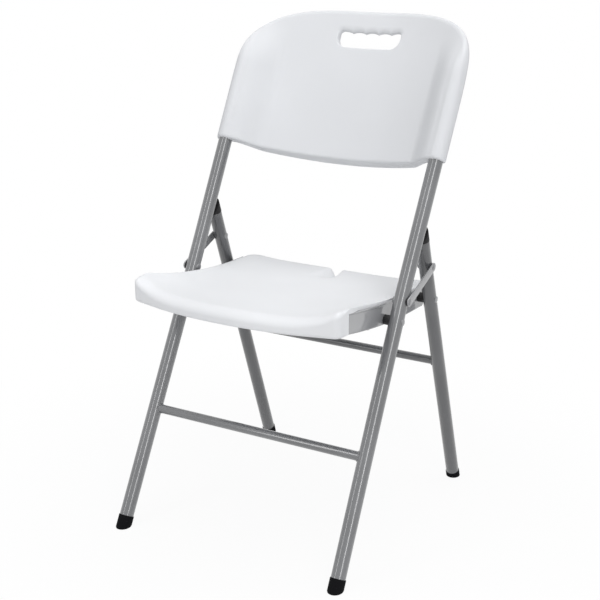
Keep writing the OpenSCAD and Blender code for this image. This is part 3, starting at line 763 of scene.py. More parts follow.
def spacer(start: float, end: float, radius: float, edge: float = 0.6) -> Array:
    """Profile of a bush or a washer with broken edges."""
    near = [[start, radius * 0.6], [start, radius - edge], [start + edge * 0.3, radius - edge * 0.3]]
    far = [[end - edge * 0.3, radius - edge * 0.3], [end, radius - edge], [end, radius * 0.6]]
    return np.array([*near, [start + edge, radius], [end - edge, radius], *far])


def turned(name: str, centre: Array, side: Side, *profiles: Array) -> Object:
    """Solids of revolution along X through a pivot; the profiles' heights are X on the right side."""
    e = around(X_AXIS, Z_AXIS, 48)
    base = centre * (1 - X_AXIS)
    rings = [base + p[:, 0, None, None] * X_AXIS + p[:, 1, None, None] * e for p in profiles]
    if len(rings) == 1:
        return loft(name, mirrored(rings[0], side))
    return join(name, [loft("solid", mirrored(ring, side)) for ring in rings])


@dataclass
class TubeFrame:
    """What the front and the rear frame share: two tubes on feet, a stretcher and riveted pivots."""

    word: str
    body: Body
    finish: Finish
    radius: float
    lean: float
    foot_h: float
    grooves: int
    bar_z: float
    bar_r: float

    def axis(self, z: float) -> Array:
        """Point of a tube's axis at a height."""
        return LAY.front(z) if self.body is Body.FRONT else LAY.rear(z)

    @property
    def up(self) -> Array:
        """Unit vector up along a tube."""
        return unit(self.axis(1) - self.axis(0))

    @property
    def tube_start(self) -> float:
        """Distance from the floor, along the axis, at which a tube starts inside its foot."""
        return LAY.sole / cos(radians(self.lean)) + self.radius * tan(radians(self.lean))

    def fit(self, node: str, side: Side, make: str, finish: Finish, centre: Array, *profiles: Array) -> None:
        """Turned piece on one pivot, placed for its node."""
        name = f"{node}_{side.word}"
        place(turned(f"{name}_{make}", centre, side, *profiles), self.body, finish, name)

    def rail_pivot(self, node: str, side: Side, z: float, crown: float, dome: float) -> None:
        """Rivet through a tube and a seat rail, with the bush between them.

        Args:
            node: Name of the pivot in its nodes.
            side: Side of the chair.
            z: Height of the pivot.
            crown: How far the outer head stands off the tube.
            dome: How much of that is dome.
        """
        p, seat = self.axis(z), LAY.rail_x - LAY.rail_t - LAY.gap
        skin = p[0] + self.radius
        low = rivet_head(seat, seat - LAY.low_head)
        pin = shank(seat + LAY.gap - LAY.tuck, skin + LAY.tuck)
        high = rivet_head(skin - LAY.bite, skin + crown, dome)
        self.fit(f"{node}_rivet", side, "domed", Finish.RIVET, p, low, pin, high)
        bush = spacer(LAY.rail_x + LAY.bush_gap, p[0] - self.radius + LAY.bush_bite, LAY.bush_r)
        self.fit(f"{node}_bush", side, "turned", Finish.BUSH, p, bush)

    def stretcher(self) -> None:
        """Bar between the two tubes with a weld at each end."""
        p, name = self.axis(self.bar_z), f"{self.word}_stretcher"
        bar = straight_bar(f"{name}_skin", p, self.bar_r)
        beads = [weld_bead(p, self.bar_r, self.up, self.radius, side) for side in Side]
        place(join(f"{name}_welded", [bar, *beads]), self.body, self.finish, name)

    def foot(self, side: Side) -> None:
        """Rubber cap of one tube."""
        end = self.foot_h - self.radius * tan(radians(self.lean))
        name = f"{self.word}_foot_{side.word}"
        cap = foot_cap(f"{name}_rubber", self.axis(0), self.up, self.radius, end, self.grooves, side)
        place(cap, self.body, Finish.RUBBER, name)

    def tube(self, side: Side) -> None:
        """One of the two tubes."""
        raise NotImplementedError

    def pivots(self, side: Side) -> None:
        """What is riveted to one tube."""
        raise NotImplementedError

    def build(self) -> None:
        """Makes every piece of the frame."""
        self.stretcher()
        for side in Side:
            self.tube(side)
            self.foot(side)
            self.pivots(side)


@dataclass
class FrontFrame(TubeFrame):
    """Front tubes with their stretcher, feet, pivots and links' lower rivets."""

    word: str = "front"
    body: Body = Body.FRONT
    finish: Finish = Finish.FRAME
    radius: float = LAY.tube_r
    lean: float = LAY.front_lean
    foot_h: float = 27.0
    grooves: int = 0
    bar_z: float = 192.0
    bar_r: float = 8.0
    knee: float = 30.0

    def tube(self, side: Side) -> None:
        """One front tube: its axis is a hyperbola between its two straight parts.

        The point at t is bend + t (l + u) / 2 + sqrt(t^2 + knee^2) (u - l) / 2.
        """
        lower, upper = LAY.lower_dir, LAY.upper_dir
        low, high = self.tube_start - LAY.bend_z / lower[2], LAY.upright_len
        runs = [[low, low + 0.4], np.linspace(low + 8, -120, 14), np.linspace(-100, 100, 25)]
        t = np.concatenate([*runs, np.linspace(120, high - 8, 12), [high - 0.4, high]])[:, None]
        path = LAY.bend + t * (lower + upper) / 2 + np.sqrt(t**2 + self.knee**2) * (upper - lower) / 2
        name = f"front_tube_{side.word}"
        place(walled_tube(f"{name}_skin", path, self.radius, side), self.body, self.finish, name)

    def pivots(self, side: Side) -> None:
        """Rivets, bush and washer on one front tube."""
        self.rail_pivot("seat_pivot", side, LAY.seat_pivot_z, LAY.washer / 2, 0.7)
        q = self.axis(LAY.link_pivot_z)
        inner, strap = q[0] - self.radius, LAY.link_x + LAY.strap_t + 2 * LAY.gap
        low = rivet_head(inner + LAY.bite, inner - LAY.low_head, 0.7)
        high = rivet_head(strap, strap + LAY.head_h, 1.2)
        self.fit("link_pivot_rivet", side, "domed", Finish.RIVET, q, low, shank(inner, strap + 1.0), high)
        start = q[0] + self.radius - LAY.washer_bite
        washer = spacer(start, LAY.link_x - LAY.gap, LAY.washer_r, LAY.washer_edge)
        self.fit("link_washer", side, "turned", Finish.BUSH, q, washer)


@dataclass
class RearFrame(TubeFrame):
    """Rear legs with their stretcher, feet, top caps and pivots."""

    word: str = "rear"
    body: Body = Body.REAR
    # Painted shade: the rear frame wears the darkened copy of the frame paint.
    finish: Finish = Finish.REAR
    radius: float = LAY.leg_r
    lean: float = LAY.rear_lean
    foot_h: float = 19.0
    grooves: int = 2
    bar_z: float = 266.8
    bar_r: float = 7.5
    cap_gap: float = 2.0

    def tube(self, side: Side) -> None:
        """One straight rear leg with its top cap."""
        start, stop = self.tube_start, LAY.leg_top_z / self.up[2]
        t = np.concatenate([[start, start + 0.4], np.linspace(start + 10, stop - 10, 18), [stop - 0.4, stop]])
        name = f"rear_leg_{side.word}"
        path = self.axis(0) + t[:, None] * self.up
        place(walled_tube(f"{name}_skin", path, self.radius, side), self.body, self.finish, name)

    def top_cap(self, side: Side) -> None:
        """Angled cap on one leg: its end lies in a plane along the upright of the open chair.

        A generator q + t axis meets the plane n (p - c) = 0 at t = n (c - q) / (n axis).
        """
        axis, out_r, plug_r = self.up, self.radius + 0.4, self.radius - 2
        lean = radians(LAY.upright_lean)
        n = np.array([0.0, cos(lean), -sin(lean)])
        c = np.array([0.0, LAY.bend[1], LAY.bend_z]) + n * (LAY.tube_r + self.cap_gap)
        base, low = self.axis(0), LAY.leg_top_z / axis[2] + LAY.gap
        e = around(axis, X_AXIS, 72)

        def cut(r: float, below: float) -> Array:
            """Ring on the plane, or that far under it."""
            q = base + r * e
            t = ((c - q) @ n) / (n @ axis) - below
            return q + np.maximum(t, low + 0.2)[:, None] * axis

        sleeve = ((plug_r, low - 4), (plug_r, low), (out_r - 0.3, low), (out_r, low + 0.15))
        edge = ((out_r, 1.3), (out_r - 0.15, 0.6), (out_r - 0.6, 0.15))
        crown = (*edge, (out_r - 1.3, 0.0), (out_r * 0.5, 0.0))
        rows = [base + r * e + t * axis for r, t in sleeve] + [cut(r, below) for r, below in crown]
        name = f"rear_top_cap_{side.word}"
        place(loft(f"{name}_moulded", mirrored(np.stack(rows), side)), self.body, Finish.BUSH, name)

    def pivots(self, side: Side) -> None:
        """Top cap, rivets and bush on one rear leg."""
        self.top_cap(side)
        self.rail_pivot("leg_pivot", side, LAY.leg_pivot_z, LAY.low_head, 0.8)
        q = self.axis(LAY.link_tail_z)
        inner = q[0] - self.radius
        pin = shank(inner - LAY.tuck, q[0] + self.radius - LAY.gap)
        low = rivet_head(inner + LAY.bite, inner - LAY.low_head)
        self.fit("link_tail_rivet", side, "domed", Finish.RIVET, q, low, pin)


@dataclass
class Links:
    """Stamped straps between the front tubes and the tops of the rear legs."""

    width: float = 15.0
    thick: float = LAY.strap_t
    edge: float = 0.55
    crown: float = 1.2

    def strap(self, side: Side, body: Body) -> None:
        """One strap: a stadium with edges rounded by the shear.

        Its outline is the end centre plus width / 2 in each direction of the angle; an inset d draws
        that radius in.
        """
        a, b = LAY.front(LAY.link_pivot_z), LAY.rear(LAY.link_tail_z)
        along = unit(np.array([0.0, b[1] - a[1], b[2] - a[2]]))
        span = float(np.hypot(b[1] - a[1], b[2] - a[2]))
        angle = np.linspace(-90, 90, 37)
        arc = np.radians(np.concatenate([angle, angle + 180]))
        far = np.repeat([span, 0.0], len(angle))
        up = np.cross(X_AXIS, along)
        base = np.array([LAY.link_x, a[1], a[2]])

        def ring(inset: float, x: float) -> Array:
            """Outline at an inset and a height over the strap's inner face."""
            r = self.width / 2 - inset
            flat = (far + r * np.cos(arc))[:, None] * along + (r * np.sin(arc))[:, None] * up
            return base + flat + x * X_AXIS

        g, t = self.edge, self.thick
        inner = ((6, 0), (g, 0), (g * 0.3, g * 0.3), (0, g))
        rows = [*inner, *((inset, t - x) for inset, x in inner[::-1])]
        name, rings = f"link_strap_{side.word}", np.stack([ring(*row) for row in rows])
        place(loft(f"{name}_stamped", mirrored(rings, side), sharp=50), body, Finish.LINK, name)

    def head(self, side: Side, body: Body) -> None:
        """Rivet and washer at the strap's upper end."""
        q = LAY.rear(LAY.link_tail_z)
        inner, face = q[0] + LAY.leg_r + LAY.bush_gap, LAY.link_x + self.thick + LAY.gap
        washer = spacer(inner, LAY.link_x - LAY.gap, LAY.washer_r, LAY.washer_edge)
        pin = shank(inner + 2 * LAY.gap, face + 2 * LAY.tuck)
        crown = rivet_head(face, face + LAY.head_h, self.crown)
        name = f"link_head_{side.word}"
        place(turned(f"{name}_domed", q, side, washer, pin, crown), body, Finish.RIVET, name)

    def build(self) -> None:
        """Makes both links."""
        for side, body in ((Side.LEFT, Body.LINK_LEFT), (Side.RIGHT, Body.LINK_RIGHT)):
            self.strap(side, body)
            self.head(side, body)


@dataclass
class BackPanel:
    """Moulded back: a bowed web between two bolsters, with a handle slot under its top."""

    low: float = 233.0
    top: float = 523.7
    shoulder: float = 365.0
    power: float = 2.85
    bolster_r: float = 16.5
    bow: float = 58.0
    thick_low: float = 27.0
    thick_top: float = 14.6
    thick_side: float = 15.0
    edge_r: float = 10.0
    low_r: float = 8.0
    low_power: float = 4.0
    web_in: float = 1.5
    shear: float = 1.2
    shear_len: float = 40.0
    fade_low: float = 386.0
    fade_len: float = 96.0
    fillet_in: float = 62.0
    fillet_out: float = 4.0
    core_in: float = 9.0
    slot_half: float = 63.0
    slot_low: float = 450.8
    slot_high: float = 483.0
    slot_low_r: float = 18.0
    slot_high_r: float = 8.0
    cusp_pitch: float = 26.0
    cusp_drop: float = 3.0
    cusp_fade: float = 20.0
    roll_low: float = 3.2
    roll_high: float = 10.5
    counts: tuple[int, int, int, int] = (110, 84, 150, 84)

    def upright_x(self, s: Array) -> Array:
        """X of the upright's axis at s."""
        return LAY.bend[0] + s * tan(radians(LAY.upright_flare))

    @property
    def half(self) -> float:
        """Half width at the shoulder."""
        return float(self.upright_x(self.shoulder)) + self.bolster_r

    def width(self, s: Array) -> Array:
        """Half width at s."""
        return self.upright_x(np.minimum(s, self.shoulder)) + self.bolster_r

    def crown(self, x: Array) -> Array:
        """Top edge at x: a superellipse from the shoulders."""
        q = np.clip(np.abs(x) / self.half, 0, 1) ** self.power
        return self.shoulder + (self.top - self.shoulder) * np.maximum(0, 1 - q) ** (1 / self.power)

    def surface(self, x: Array, s: Array, face: Array, share: Array) -> Array:
        """Point of the panel's face.

        The middle of the web lies at mid, half the thickness to each side of it; g rounds the outline
        over, and the bolster's half thickness is a circle about the upright's axis.

        Args:
            x: Place across the panel.
            s: Place up along the uprights.
            face: -1 for the front, 1 for the rear.
            share: Share of the half thickness, below 1 inside the handle slot.

        Returns:
            Points in world coordinates.
        """
        xm = self.half * x / self.width(s)
        edge = self.crown(xm)
        axis = self.upright_x(s)
        web = smooth((axis - self.fillet_out - np.abs(x)) / (self.fillet_in - self.fillet_out))
        fade = smooth((s - self.fade_low) / self.fade_len)
        flat = 1 - (1 - web) * (1 - fade)
        thick = mix(
            mix(self.thick_low, self.thick_side, (x / self.half) ** 2),
            self.thick_top,
            smooth((s - self.low) / (self.slot_low - self.low)),
        )
        front = self.bow * (1 - (x / self.half) ** 2) - self.web_in
        mid = flat * (front + thick / 2)
        side = round_over(self.half - np.abs(x), self.edge_r)
        tube = np.sqrt(np.maximum(0, self.bolster_r**2 - np.maximum(-self.core_in, np.abs(x) - axis) ** 2))
        depth = mix(tube, thick / 2 * mix(1, side, fade), flat)
        slope = self.crown(np.abs(xm) - 0.5) - self.crown(np.abs(xm) + 0.5)
        g = round_over((edge - s) / np.hypot(1, slope), self.edge_r)
        g = g * round_over(s - self.low, self.low_r, self.low_power)
        drop = self.shear * face * web * (1 - smooth((s - self.low) / self.shear_len)) * np.minimum(1, g * 3)
        return LAY.on_upright(x, mid + face * depth * g * share, s - drop)

    def outline(self) -> Array:
        """Outline of the panel as (x, s), in four runs: lower edge, right side, top, left side."""
        turn, fine = 0.86, 200
        bottom = np.stack([np.linspace(-1, 1, fine) * self.width(self.low), np.full(fine, self.low)], 1)
        s = np.linspace(self.low, self.shoulder, fine)
        q = np.sin(np.linspace(0, np.arcsin(turn), 2 * fine))
        x = self.half * (1 - q**self.power) ** (1 / self.power)
        rise = np.stack([x, mix(self.shoulder, self.top, q)], 1)
        side = np.concatenate([np.stack([self.width(s), s], 1), rise[1:]])
        x = np.linspace(x[-1], -x[-1], 3 * fine)
        return self.sampled([bottom, side, np.stack([x, self.crown(x)], 1), side[::-1] * [-1, 1]])

    def sampled(self, runs: list[Array]) -> Array:
        """Points at even steps along four runs, as many on each as counts says."""
        return np.concatenate([resample(run, n) for run, n in zip(runs, self.counts, strict=True)])

    def cusps(self, x: Array) -> Array:
        """How far the slot's upper edge hangs down at x: arcs between four cusps."""
        r = ((self.cusp_pitch / 2) ** 2 + self.cusp_drop**2) / (2 * self.cusp_drop)
        off = np.abs(x) - self.cusp_pitch * np.round(np.abs(x) / self.cusp_pitch)
        arcs = r - np.sqrt(r**2 - off**2)
        return np.where(np.abs(x) < 2 * self.cusp_pitch, arcs, 0.0)

    def slot_ring(self, out: Array) -> Array:
        """Outline of the slot, grown by out at each point, as (x, s) in the outline's four runs.

        A rounded rectangle grows with its corner radii, and the cusps fade as it does.

        Args:
            out: How far each point lies from the slot's edge.

        Returns:
            The points, starting in the middle of the lower left corner.
        """
        low, high, w = self.slot_low, self.slot_high, self.slot_half
        rl, rh = self.slot_low_r, self.slot_high_r
        lower, upper = (w - rl, low + rl, rl), (w - rh, high - rh, rh)
        corners = [(-1, *lower, 225), (1, *lower, 315), (1, *upper, 45), (-1, *upper, 135)]

        def arc(way: int, x: float, s: float, r: float, mid: float, a0: float, a1: float) -> Array:
            """Part of a corner with its outward directions, as rows of (x, s, nx, ns)."""
            a = np.radians(np.linspace(mid + a0, mid + a1, 60))
            n = np.stack([np.cos(a), np.sin(a)], 1)
            return np.concatenate([[way * x, s] + r * n, n], axis=1)

        runs = []
        for here, there in zip(corners, corners[1:] + corners[:1], strict=True):
            start, stop = arc(*here, 0, 45), arc(*there, -45, 0)
            straight = mix(start[-1], stop[0], np.linspace(0, 1, 200)[:, None])
            runs.append(np.concatenate([start, straight, stop]))
        base = self.sampled(runs)
        where, normal = base[:, :2], unit(base[:, 2:])
        up = smooth((normal[:, 1] - 0.5) / 0.5)
        fluted = where + normal * out[:, None]
        fluted[:, 1] -= up * self.cusps(where[:, 0]) * (1 - smooth(out / self.cusp_fade))
        return fluted

    def shell(self) -> Object:
        """The panel as one closed surface: rings from the slot out to the outline on each face."""
        edge = self.outline()
        zero = np.zeros(len(edge))
        slot = self.slot_ring(zero)
        direction = unit(self.slot_ring(zero + 1.0) - slot)
        roll = mix(self.roll_low, self.roll_high, smooth((direction[:, 1] + 0.1) / 0.8))
        first = self.slot_ring(roll)
        length = np.linalg.norm(edge - first, axis=1)
        near = np.array([0.0, 0.03, 0.12, 0.3, 0.6, 1.1, 1.8, 2.8, 4.0, 5.4, 7.0, 9.0, 11.5])
        inner = np.linspace(0, 1, 64)[1:-1]
        wall, lip = (0.0, 0.13), 0.26

        def half_rings(face: int) -> list[Array]:
            """Rings of one face, from the slot's wall to the outline."""
            rings = [self.surface(*slot.T, face, zero + k) for k in wall]
            for a in np.radians(np.linspace(0, 90, 11)):
                ring = self.slot_ring(roll * (1 - np.cos(a)))
                rings.append(self.surface(*ring.T, face, zero + lip + (1 - lip) * np.sin(a)))
            ways = [t * (1 - near[-1] / length) for t in inner] + [1 - gap / length for gap in near[::-1]]
            flat = [first + (edge - first) * way[:, None] for way in ways]
            return rings + [self.surface(*ring.T, face, zero + 1) for ring in flat]

        front, rear = half_rings(-1), half_rings(1)
        return loft("back_panel_moulded", np.stack(front + rear[-2:0:-1]), close_rows=True, sharp=55)

    def build(self) -> None:
        """Makes the panel and dresses its screws."""
        # Painted shade: the panel wears the darkened copy of the seat's plastic.
        place(self.shell(), Body.FRONT, Finish.BACK, "back_panel")
        dress(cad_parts["back_screws"], Finish.ZINC)


@dataclass
class SeatShell:
    """Moulded seat: crowned edges, a rolled nose with wings, a dished top and a rear scoop."""

    depth: float = 386.0
    front_y: float = -255.0
    nose_bottom: float = 410.0
    low_z: float = 410.5
    nose_rise: float = 29.9
    crest_low: float = 417.5
    crest_rise: float = 57.2
    sweep: float = 28.0
    wing_out: float = 11.5
    wing_len: float = 61.0
    wing_fade: float = 69.0
    nose_r: float = 13.0
    rear_r: float = 26.0
    roll_side: float = 10.0
    roll_nose: float = 25.0
    roll_wing: float = 15.0
    roll_power: float = 1.85
    drop_side: float = 2.5
    drop_nose: float = 18.0
    drop_wing: float = 18.0
    scoop_deep: float = 17.5
    scoop_half: float = 16.0
    scoop_len: float = 80.0
    scoop_spread: float = 0.35
    rail_low_z: float = 415.5
    rail_rise: float = 30.0
    rail_h: float = 39.5
    rail_front_h: float = 37.5
    rail_gap: float = 25.0
    hem_out: float = 1.2
    hem_r: float = 2.2
    under_slope: float = 0.0476
    rim: float = 6.0
    low_in: float = 47.0
    crest_in: float = 17.0
    lift_side: float = 2.5
    lift_nose: float = 9.0
    roll_rear: float = 8.0
    core_nose_r: float = 8.0
    core_rear_r: float = 15.0
    flange: float = 13.0
    flange_bend: float = 3.6
    rail_end_r: float = 10.0
    cut_low: float = 350.0
    cut_out: float = 30.0
    cut_room: float = 0.5
    skirt_in: float = 1.1

    @property
    def half(self) -> float:
        """Half width between the rails."""
        return LAY.rail_x - LAY.rail_t - 1.0

    @property
    def rail_v(self) -> tuple[float, float]:
        """Where the rails start and end behind the nose line."""
        return self.wing_len + 1, self.depth - self.rail_gap

    def middle(self, v: Array) -> Array:
        """Height of the top along the middle."""
        low_v = self.depth - self.low_in
        return self.low_z + self.nose_rise * ((v - low_v) / low_v) ** 2

    def crest(self, v: Array) -> Array:
        """Height of the side crests."""
        crest_v = self.depth - self.crest_in
        return self.crest_low + self.crest_rise * ((v - crest_v) / crest_v) ** 2

    def rail_top(self, v: Array) -> Array:
        """Top edge of the rails."""
        v0, v1 = self.rail_v
        return self.rail_low_z + self.rail_rise * ((v - v1) / (v1 - v0)) ** 2

    def rail_low(self, v: Array) -> Array:
        """Bottom edge of the rails."""
        v0, v1 = self.rail_v
        return self.rail_top(v) - mix(self.rail_h, self.rail_front_h, ((v - v1) / (v1 - v0)) ** 2)

    def breadth(self, v: Array) -> Array:
        """Half width of the seat, wider over the wings at the nose."""
        return self.half + self.wing_out * (1 - smooth((v - self.wing_len) / self.wing_fade))

    def top(self, x: Array, v: Array) -> Array:
        """Height of the top: the dish between the crests, less the scoop."""
        run = self.depth - v
        u = np.minimum(1, np.abs(x) / (self.scoop_half + self.scoop_spread * run))
        scoop = self.scoop_deep * smooth(1 - run / self.scoop_len) * (1 - u**2) ** 3
        dish = mix(self.middle(v), self.crest(v), np.minimum(1, np.abs(x) / self.breadth(v)) ** 5)
        return dish - scoop

    def under(self, x: Array, v: Array) -> Array:
        """Height of the underside."""
        flat = self.nose_bottom - self.under_slope * np.maximum(0, v - self.wing_len - 3)
        return np.minimum(flat, self.top(x, v) - self.rim)

    def nose_share(self, v: Array) -> Array:
        """1 over the nose and its wings, fading to 0 along the rails."""
        return 1 - smooth((v - self.wing_len + 28) / 36)

    def outline(self, inset: float) -> Array:
        """Outline in plan, or the line inside it where the edge has reached its full height.

        Args:
            inset: 0 for the outline, 1 for the inner line.

        Returns:
            Points (x, v) all the way round, with the same count for every inset.
        """
        rolls = (self.roll_nose, self.roll_rear, self.roll_side, self.roll_wing)
        nose_in, rear_in, side_in, wing_in = (inset * roll for roll in rolls)
        nose_r, rear_r = mix(self.nose_r, self.core_nose_r, inset), mix(self.rear_r, self.core_rear_r, inset)
        wn = self.half + self.wing_out - wing_in
        tilt = np.arctan(2 * self.sweep * (wn - nose_r * 0.85) / wn**2)
        cx = wn - nose_r
        x0 = cx + nose_r * np.sin(tilt)
        cv = nose_in + self.sweep * (x0 / wn) ** 2 + nose_r * np.cos(tilt)
        v1, wr = self.depth - rear_in - rear_r, self.half - side_in
        x = np.linspace(0, x0, 46)[:-1]
        a = tilt - np.pi / 2 + (np.pi / 2 - tilt) * np.linspace(0, 1, 15)
        fade = self.wing_len + self.wing_fade
        side = np.concatenate([np.linspace(cv, fade, 40)[1:], np.linspace(fade + 1, v1, 34)[:-1]])
        b = np.linspace(0, np.pi / 2, 17)
        rear = np.concatenate([np.linspace(wr - rear_r, 42, 24)[1:], np.linspace(40, 0, 25)])
        right = np.concatenate(
            [
                np.stack([x, nose_in + self.sweep * (x / wn) ** 2], 1),
                np.stack([cx + nose_r * np.cos(a), cv + nose_r * np.sin(a)], 1),
                np.stack([self.breadth(side) - mix(side_in, wing_in, self.nose_share(side)), side], 1),
                np.stack([wr - rear_r + rear_r * np.cos(b), v1 + rear_r * np.sin(b)], 1),
                np.stack([rear, np.full_like(rear, self.depth - rear_in)], 1),
            ]
        )
        return np.concatenate([right, right[-2:0:-1] * [-1, 1]])

    def solid(self) -> Object:
        """The uncut seat: rings from the middle of its underside round the edge to the middle of its top.

        At t from 0 to 1 a ring lies between the outline and the inner line, from 1 to 2 between the inner
        line and the middle. Near the edge the top falls by drop * (1 - (1 - (1 - t)^p)^(1/p)).
        """
        outer, core = self.outline(0.0), self.outline(1.0)
        middle = np.array([0.0, self.depth * 0.52])
        nose = self.nose_share(outer[:, 1])
        front = mix(self.drop_nose, self.drop_wing, (np.abs(outer[:, 0]) / self.half) ** 4)
        drop = mix(self.drop_side, front, nose)
        lift = mix(self.lift_side, self.lift_nose, nose)
        tuck = 0.6

        def plan(t: float) -> Array:
            """Ring in plan."""
            return mix(outer, core, t) if t <= 1 else mix(core, middle, t - 1)

        def top_ring(t: float) -> Array:
            """Ring of the upper face."""
            p = plan(t)
            g = round_over(min(1.0, t), 1.0, self.roll_power)
            return np.column_stack([p, self.top(p[:, 0], p[:, 1]) - drop * (1 - g)])

        def low_ring(t: float) -> Array:
            """Ring of the lower face."""
            p = plan(t)
            g = round_over(min(1.0, t / tuck), 1.0)
            low = self.under(p[:, 0], p[:, 1])
            room = self.top(p[:, 0], p[:, 1]) - drop - low
            return np.column_stack([p, low + np.minimum(lift, room / 2) * (1 - g)])

        def turn(count: int) -> Array:
            """Steps from 0 to 1 that are closest near 0, as round a quarter circle."""
            return 1 - np.cos(np.linspace(0, np.pi / 2, count))

        above = [turn(24) ** 1.3, 1 + np.linspace(0.01, 0.34, 24), 1 + np.linspace(0.37, 0.975, 20)]
        below = [tuck * turn(12), [0.8, 1.0], 1 + np.linspace(0.04, 0.34, 8), 1 + np.linspace(0.4, 0.95, 8)]
        rings = [low_ring(t) for t in np.concatenate(below)[::-1]]
        rings += [mix(low_ring(0.0), top_ring(0.0), k) for k in (0.33, 0.67)]
        rings += [top_ring(t) for t in np.concatenate(above)]
        points = np.stack(rings) + np.array([0.0, self.front_y, 0.0])
        return loft("seat_shell_moulded", points, sharp=60)

    def cutter(self, low: float, lift: float, v: Array, x0: float, x1: float, side: Side) -> Object:
        """Upright plate from a level edge to a line along the rail's top, which cuts room for the rail.

        Args:
            low: Height of its lower edge.
            lift: How far its upper edge lies above the rail's top.
            v: Places behind the nose line.
            x0: Inner face.
            x1: Outer face.
            side: Side of the chair.

        Returns:
            A closed object.
        """
        y, high = v + self.front_y, self.rail_top(v) + lift
        loop = [(x0, low + 0 * y), (x1, low + 0 * y), (x1, high), (x0, high)]
        ring = np.stack([np.column_stack([np.full_like(y, x), y, z]) for x, z in loop], axis=1)
        return loft("cutter", mirrored(ring, side))

    def shell(self) -> Object:
        """The seat with room for its rails."""
        cutters = []
        low, room, far = self.cut_low, self.cut_room, self.half + self.cut_out
        whole = np.linspace(self.wing_len, self.depth + 1, 60)
        wing = np.linspace(self.wing_len - 0.01, self.wing_len + self.wing_fade + 10, 30)
        for side in Side:
            cutters.append(self.cutter(low, -self.rim, whole, self.half - self.skirt_in, far, side))
            inner = LAY.rail_x - LAY.rail_t - room
            cutters.append(self.cutter(low - 1, room, wing, inner, far + 1, side))
        return cut_away(self.solid(), cutters, 32)

    def rail(self, side: Side) -> None:
        """One pressed rail: a web with a rolled top edge and an inward flange, drawn in at both ends."""
        t, end_r, sliver, taper = LAY.rail_t, self.rail_end_r, 0.02, 16
        v0, v1 = self.rail_v
        turn = v1 - end_r
        rounded = turn + end_r * np.sin(np.linspace(0.1, np.pi / 2, 14))
        v = np.concatenate([np.linspace(v0, turn, 60), rounded])
        v[-1] -= sliver
        draw = np.where(v < turn, 0, end_r - np.sqrt(np.maximum(0, end_r**2 - (v - turn) ** 2)))
        low, top = self.rail_low(v) + draw, self.rail_top(v) - draw
        full = smooth((v - v0 - 6) / taper) * (1 - smooth((v - v1 + 22) / taper))
        reach = self.flange * full + sliver
        x1 = LAY.rail_x
        a = np.linspace(0, np.pi, 9)
        b = np.linspace(0, np.pi / 2, 7)
        one = np.ones_like(v)[:, None]
        hem = np.linspace(-np.pi / 2, np.pi / 2, 13)
        cap_x = np.concatenate([x1 + self.hem_out * np.cos(hem), [x1 - t + 0.5, x1 - t]])
        cap_z = top[:, None] + np.concatenate([self.hem_r * (np.sin(hem) - 1), [0.0, -0.5]])
        r_out = np.minimum(self.flange_bend, t + reach * 0.5)[:, None]
        out_x = x1 - r_out + r_out * np.sin(b[::-1])
        out_z = low[:, None] + r_out - r_out * np.cos(b[::-1])
        r_in = np.maximum(r_out - t, sliver / 2)
        in_x = x1 - r_out + r_in * np.sin(b)
        in_z = low[:, None] + r_out - r_in * np.cos(b)
        tip_x = np.minimum(x1 - t - reach[:, None] + t / 2 - t / 2 * np.sin(a), x1 - r_out)
        tip_z = low[:, None] + t / 2 - t / 2 * np.cos(a)
        xs = np.concatenate([cap_x * one, in_x[:, ::-1], tip_x[:, ::-1], out_x[:, ::-1]], axis=1)
        zs = np.concatenate([cap_z, in_z[:, ::-1], tip_z[:, ::-1], out_z[:, ::-1]], axis=1)
        ys = (v + self.front_y)[:, None] * np.ones_like(xs)
        name = f"seat_rail_{side.word}"
        rings = mirrored(np.stack([xs, ys, zs], axis=-1), side)
        # Painted light: the rail wears the lightened copy of the frame paint.
        place(loft(f"{name}_pressed", rings, sharp=35), Body.SEAT, Finish.RAIL, name)

    def build(self) -> None:
        """Makes the seat and dresses what lies under it."""
        place(self.shell(), Body.SEAT, Finish.SEAT, "seat_shell")
        for side in Side:
            self.rail(side)
        under = {
            "crossbar_front": Finish.FRAME,
            "crossbar_rear": Finish.FRAME,
            "crossbar_rivets": Finish.RIVET,
            "seat_screws": Finish.ZINC,
        }
        for node, finish in under.items():
            dress(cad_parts[node], finish)


# ---------------------------------------------------------------- stage, light and camera


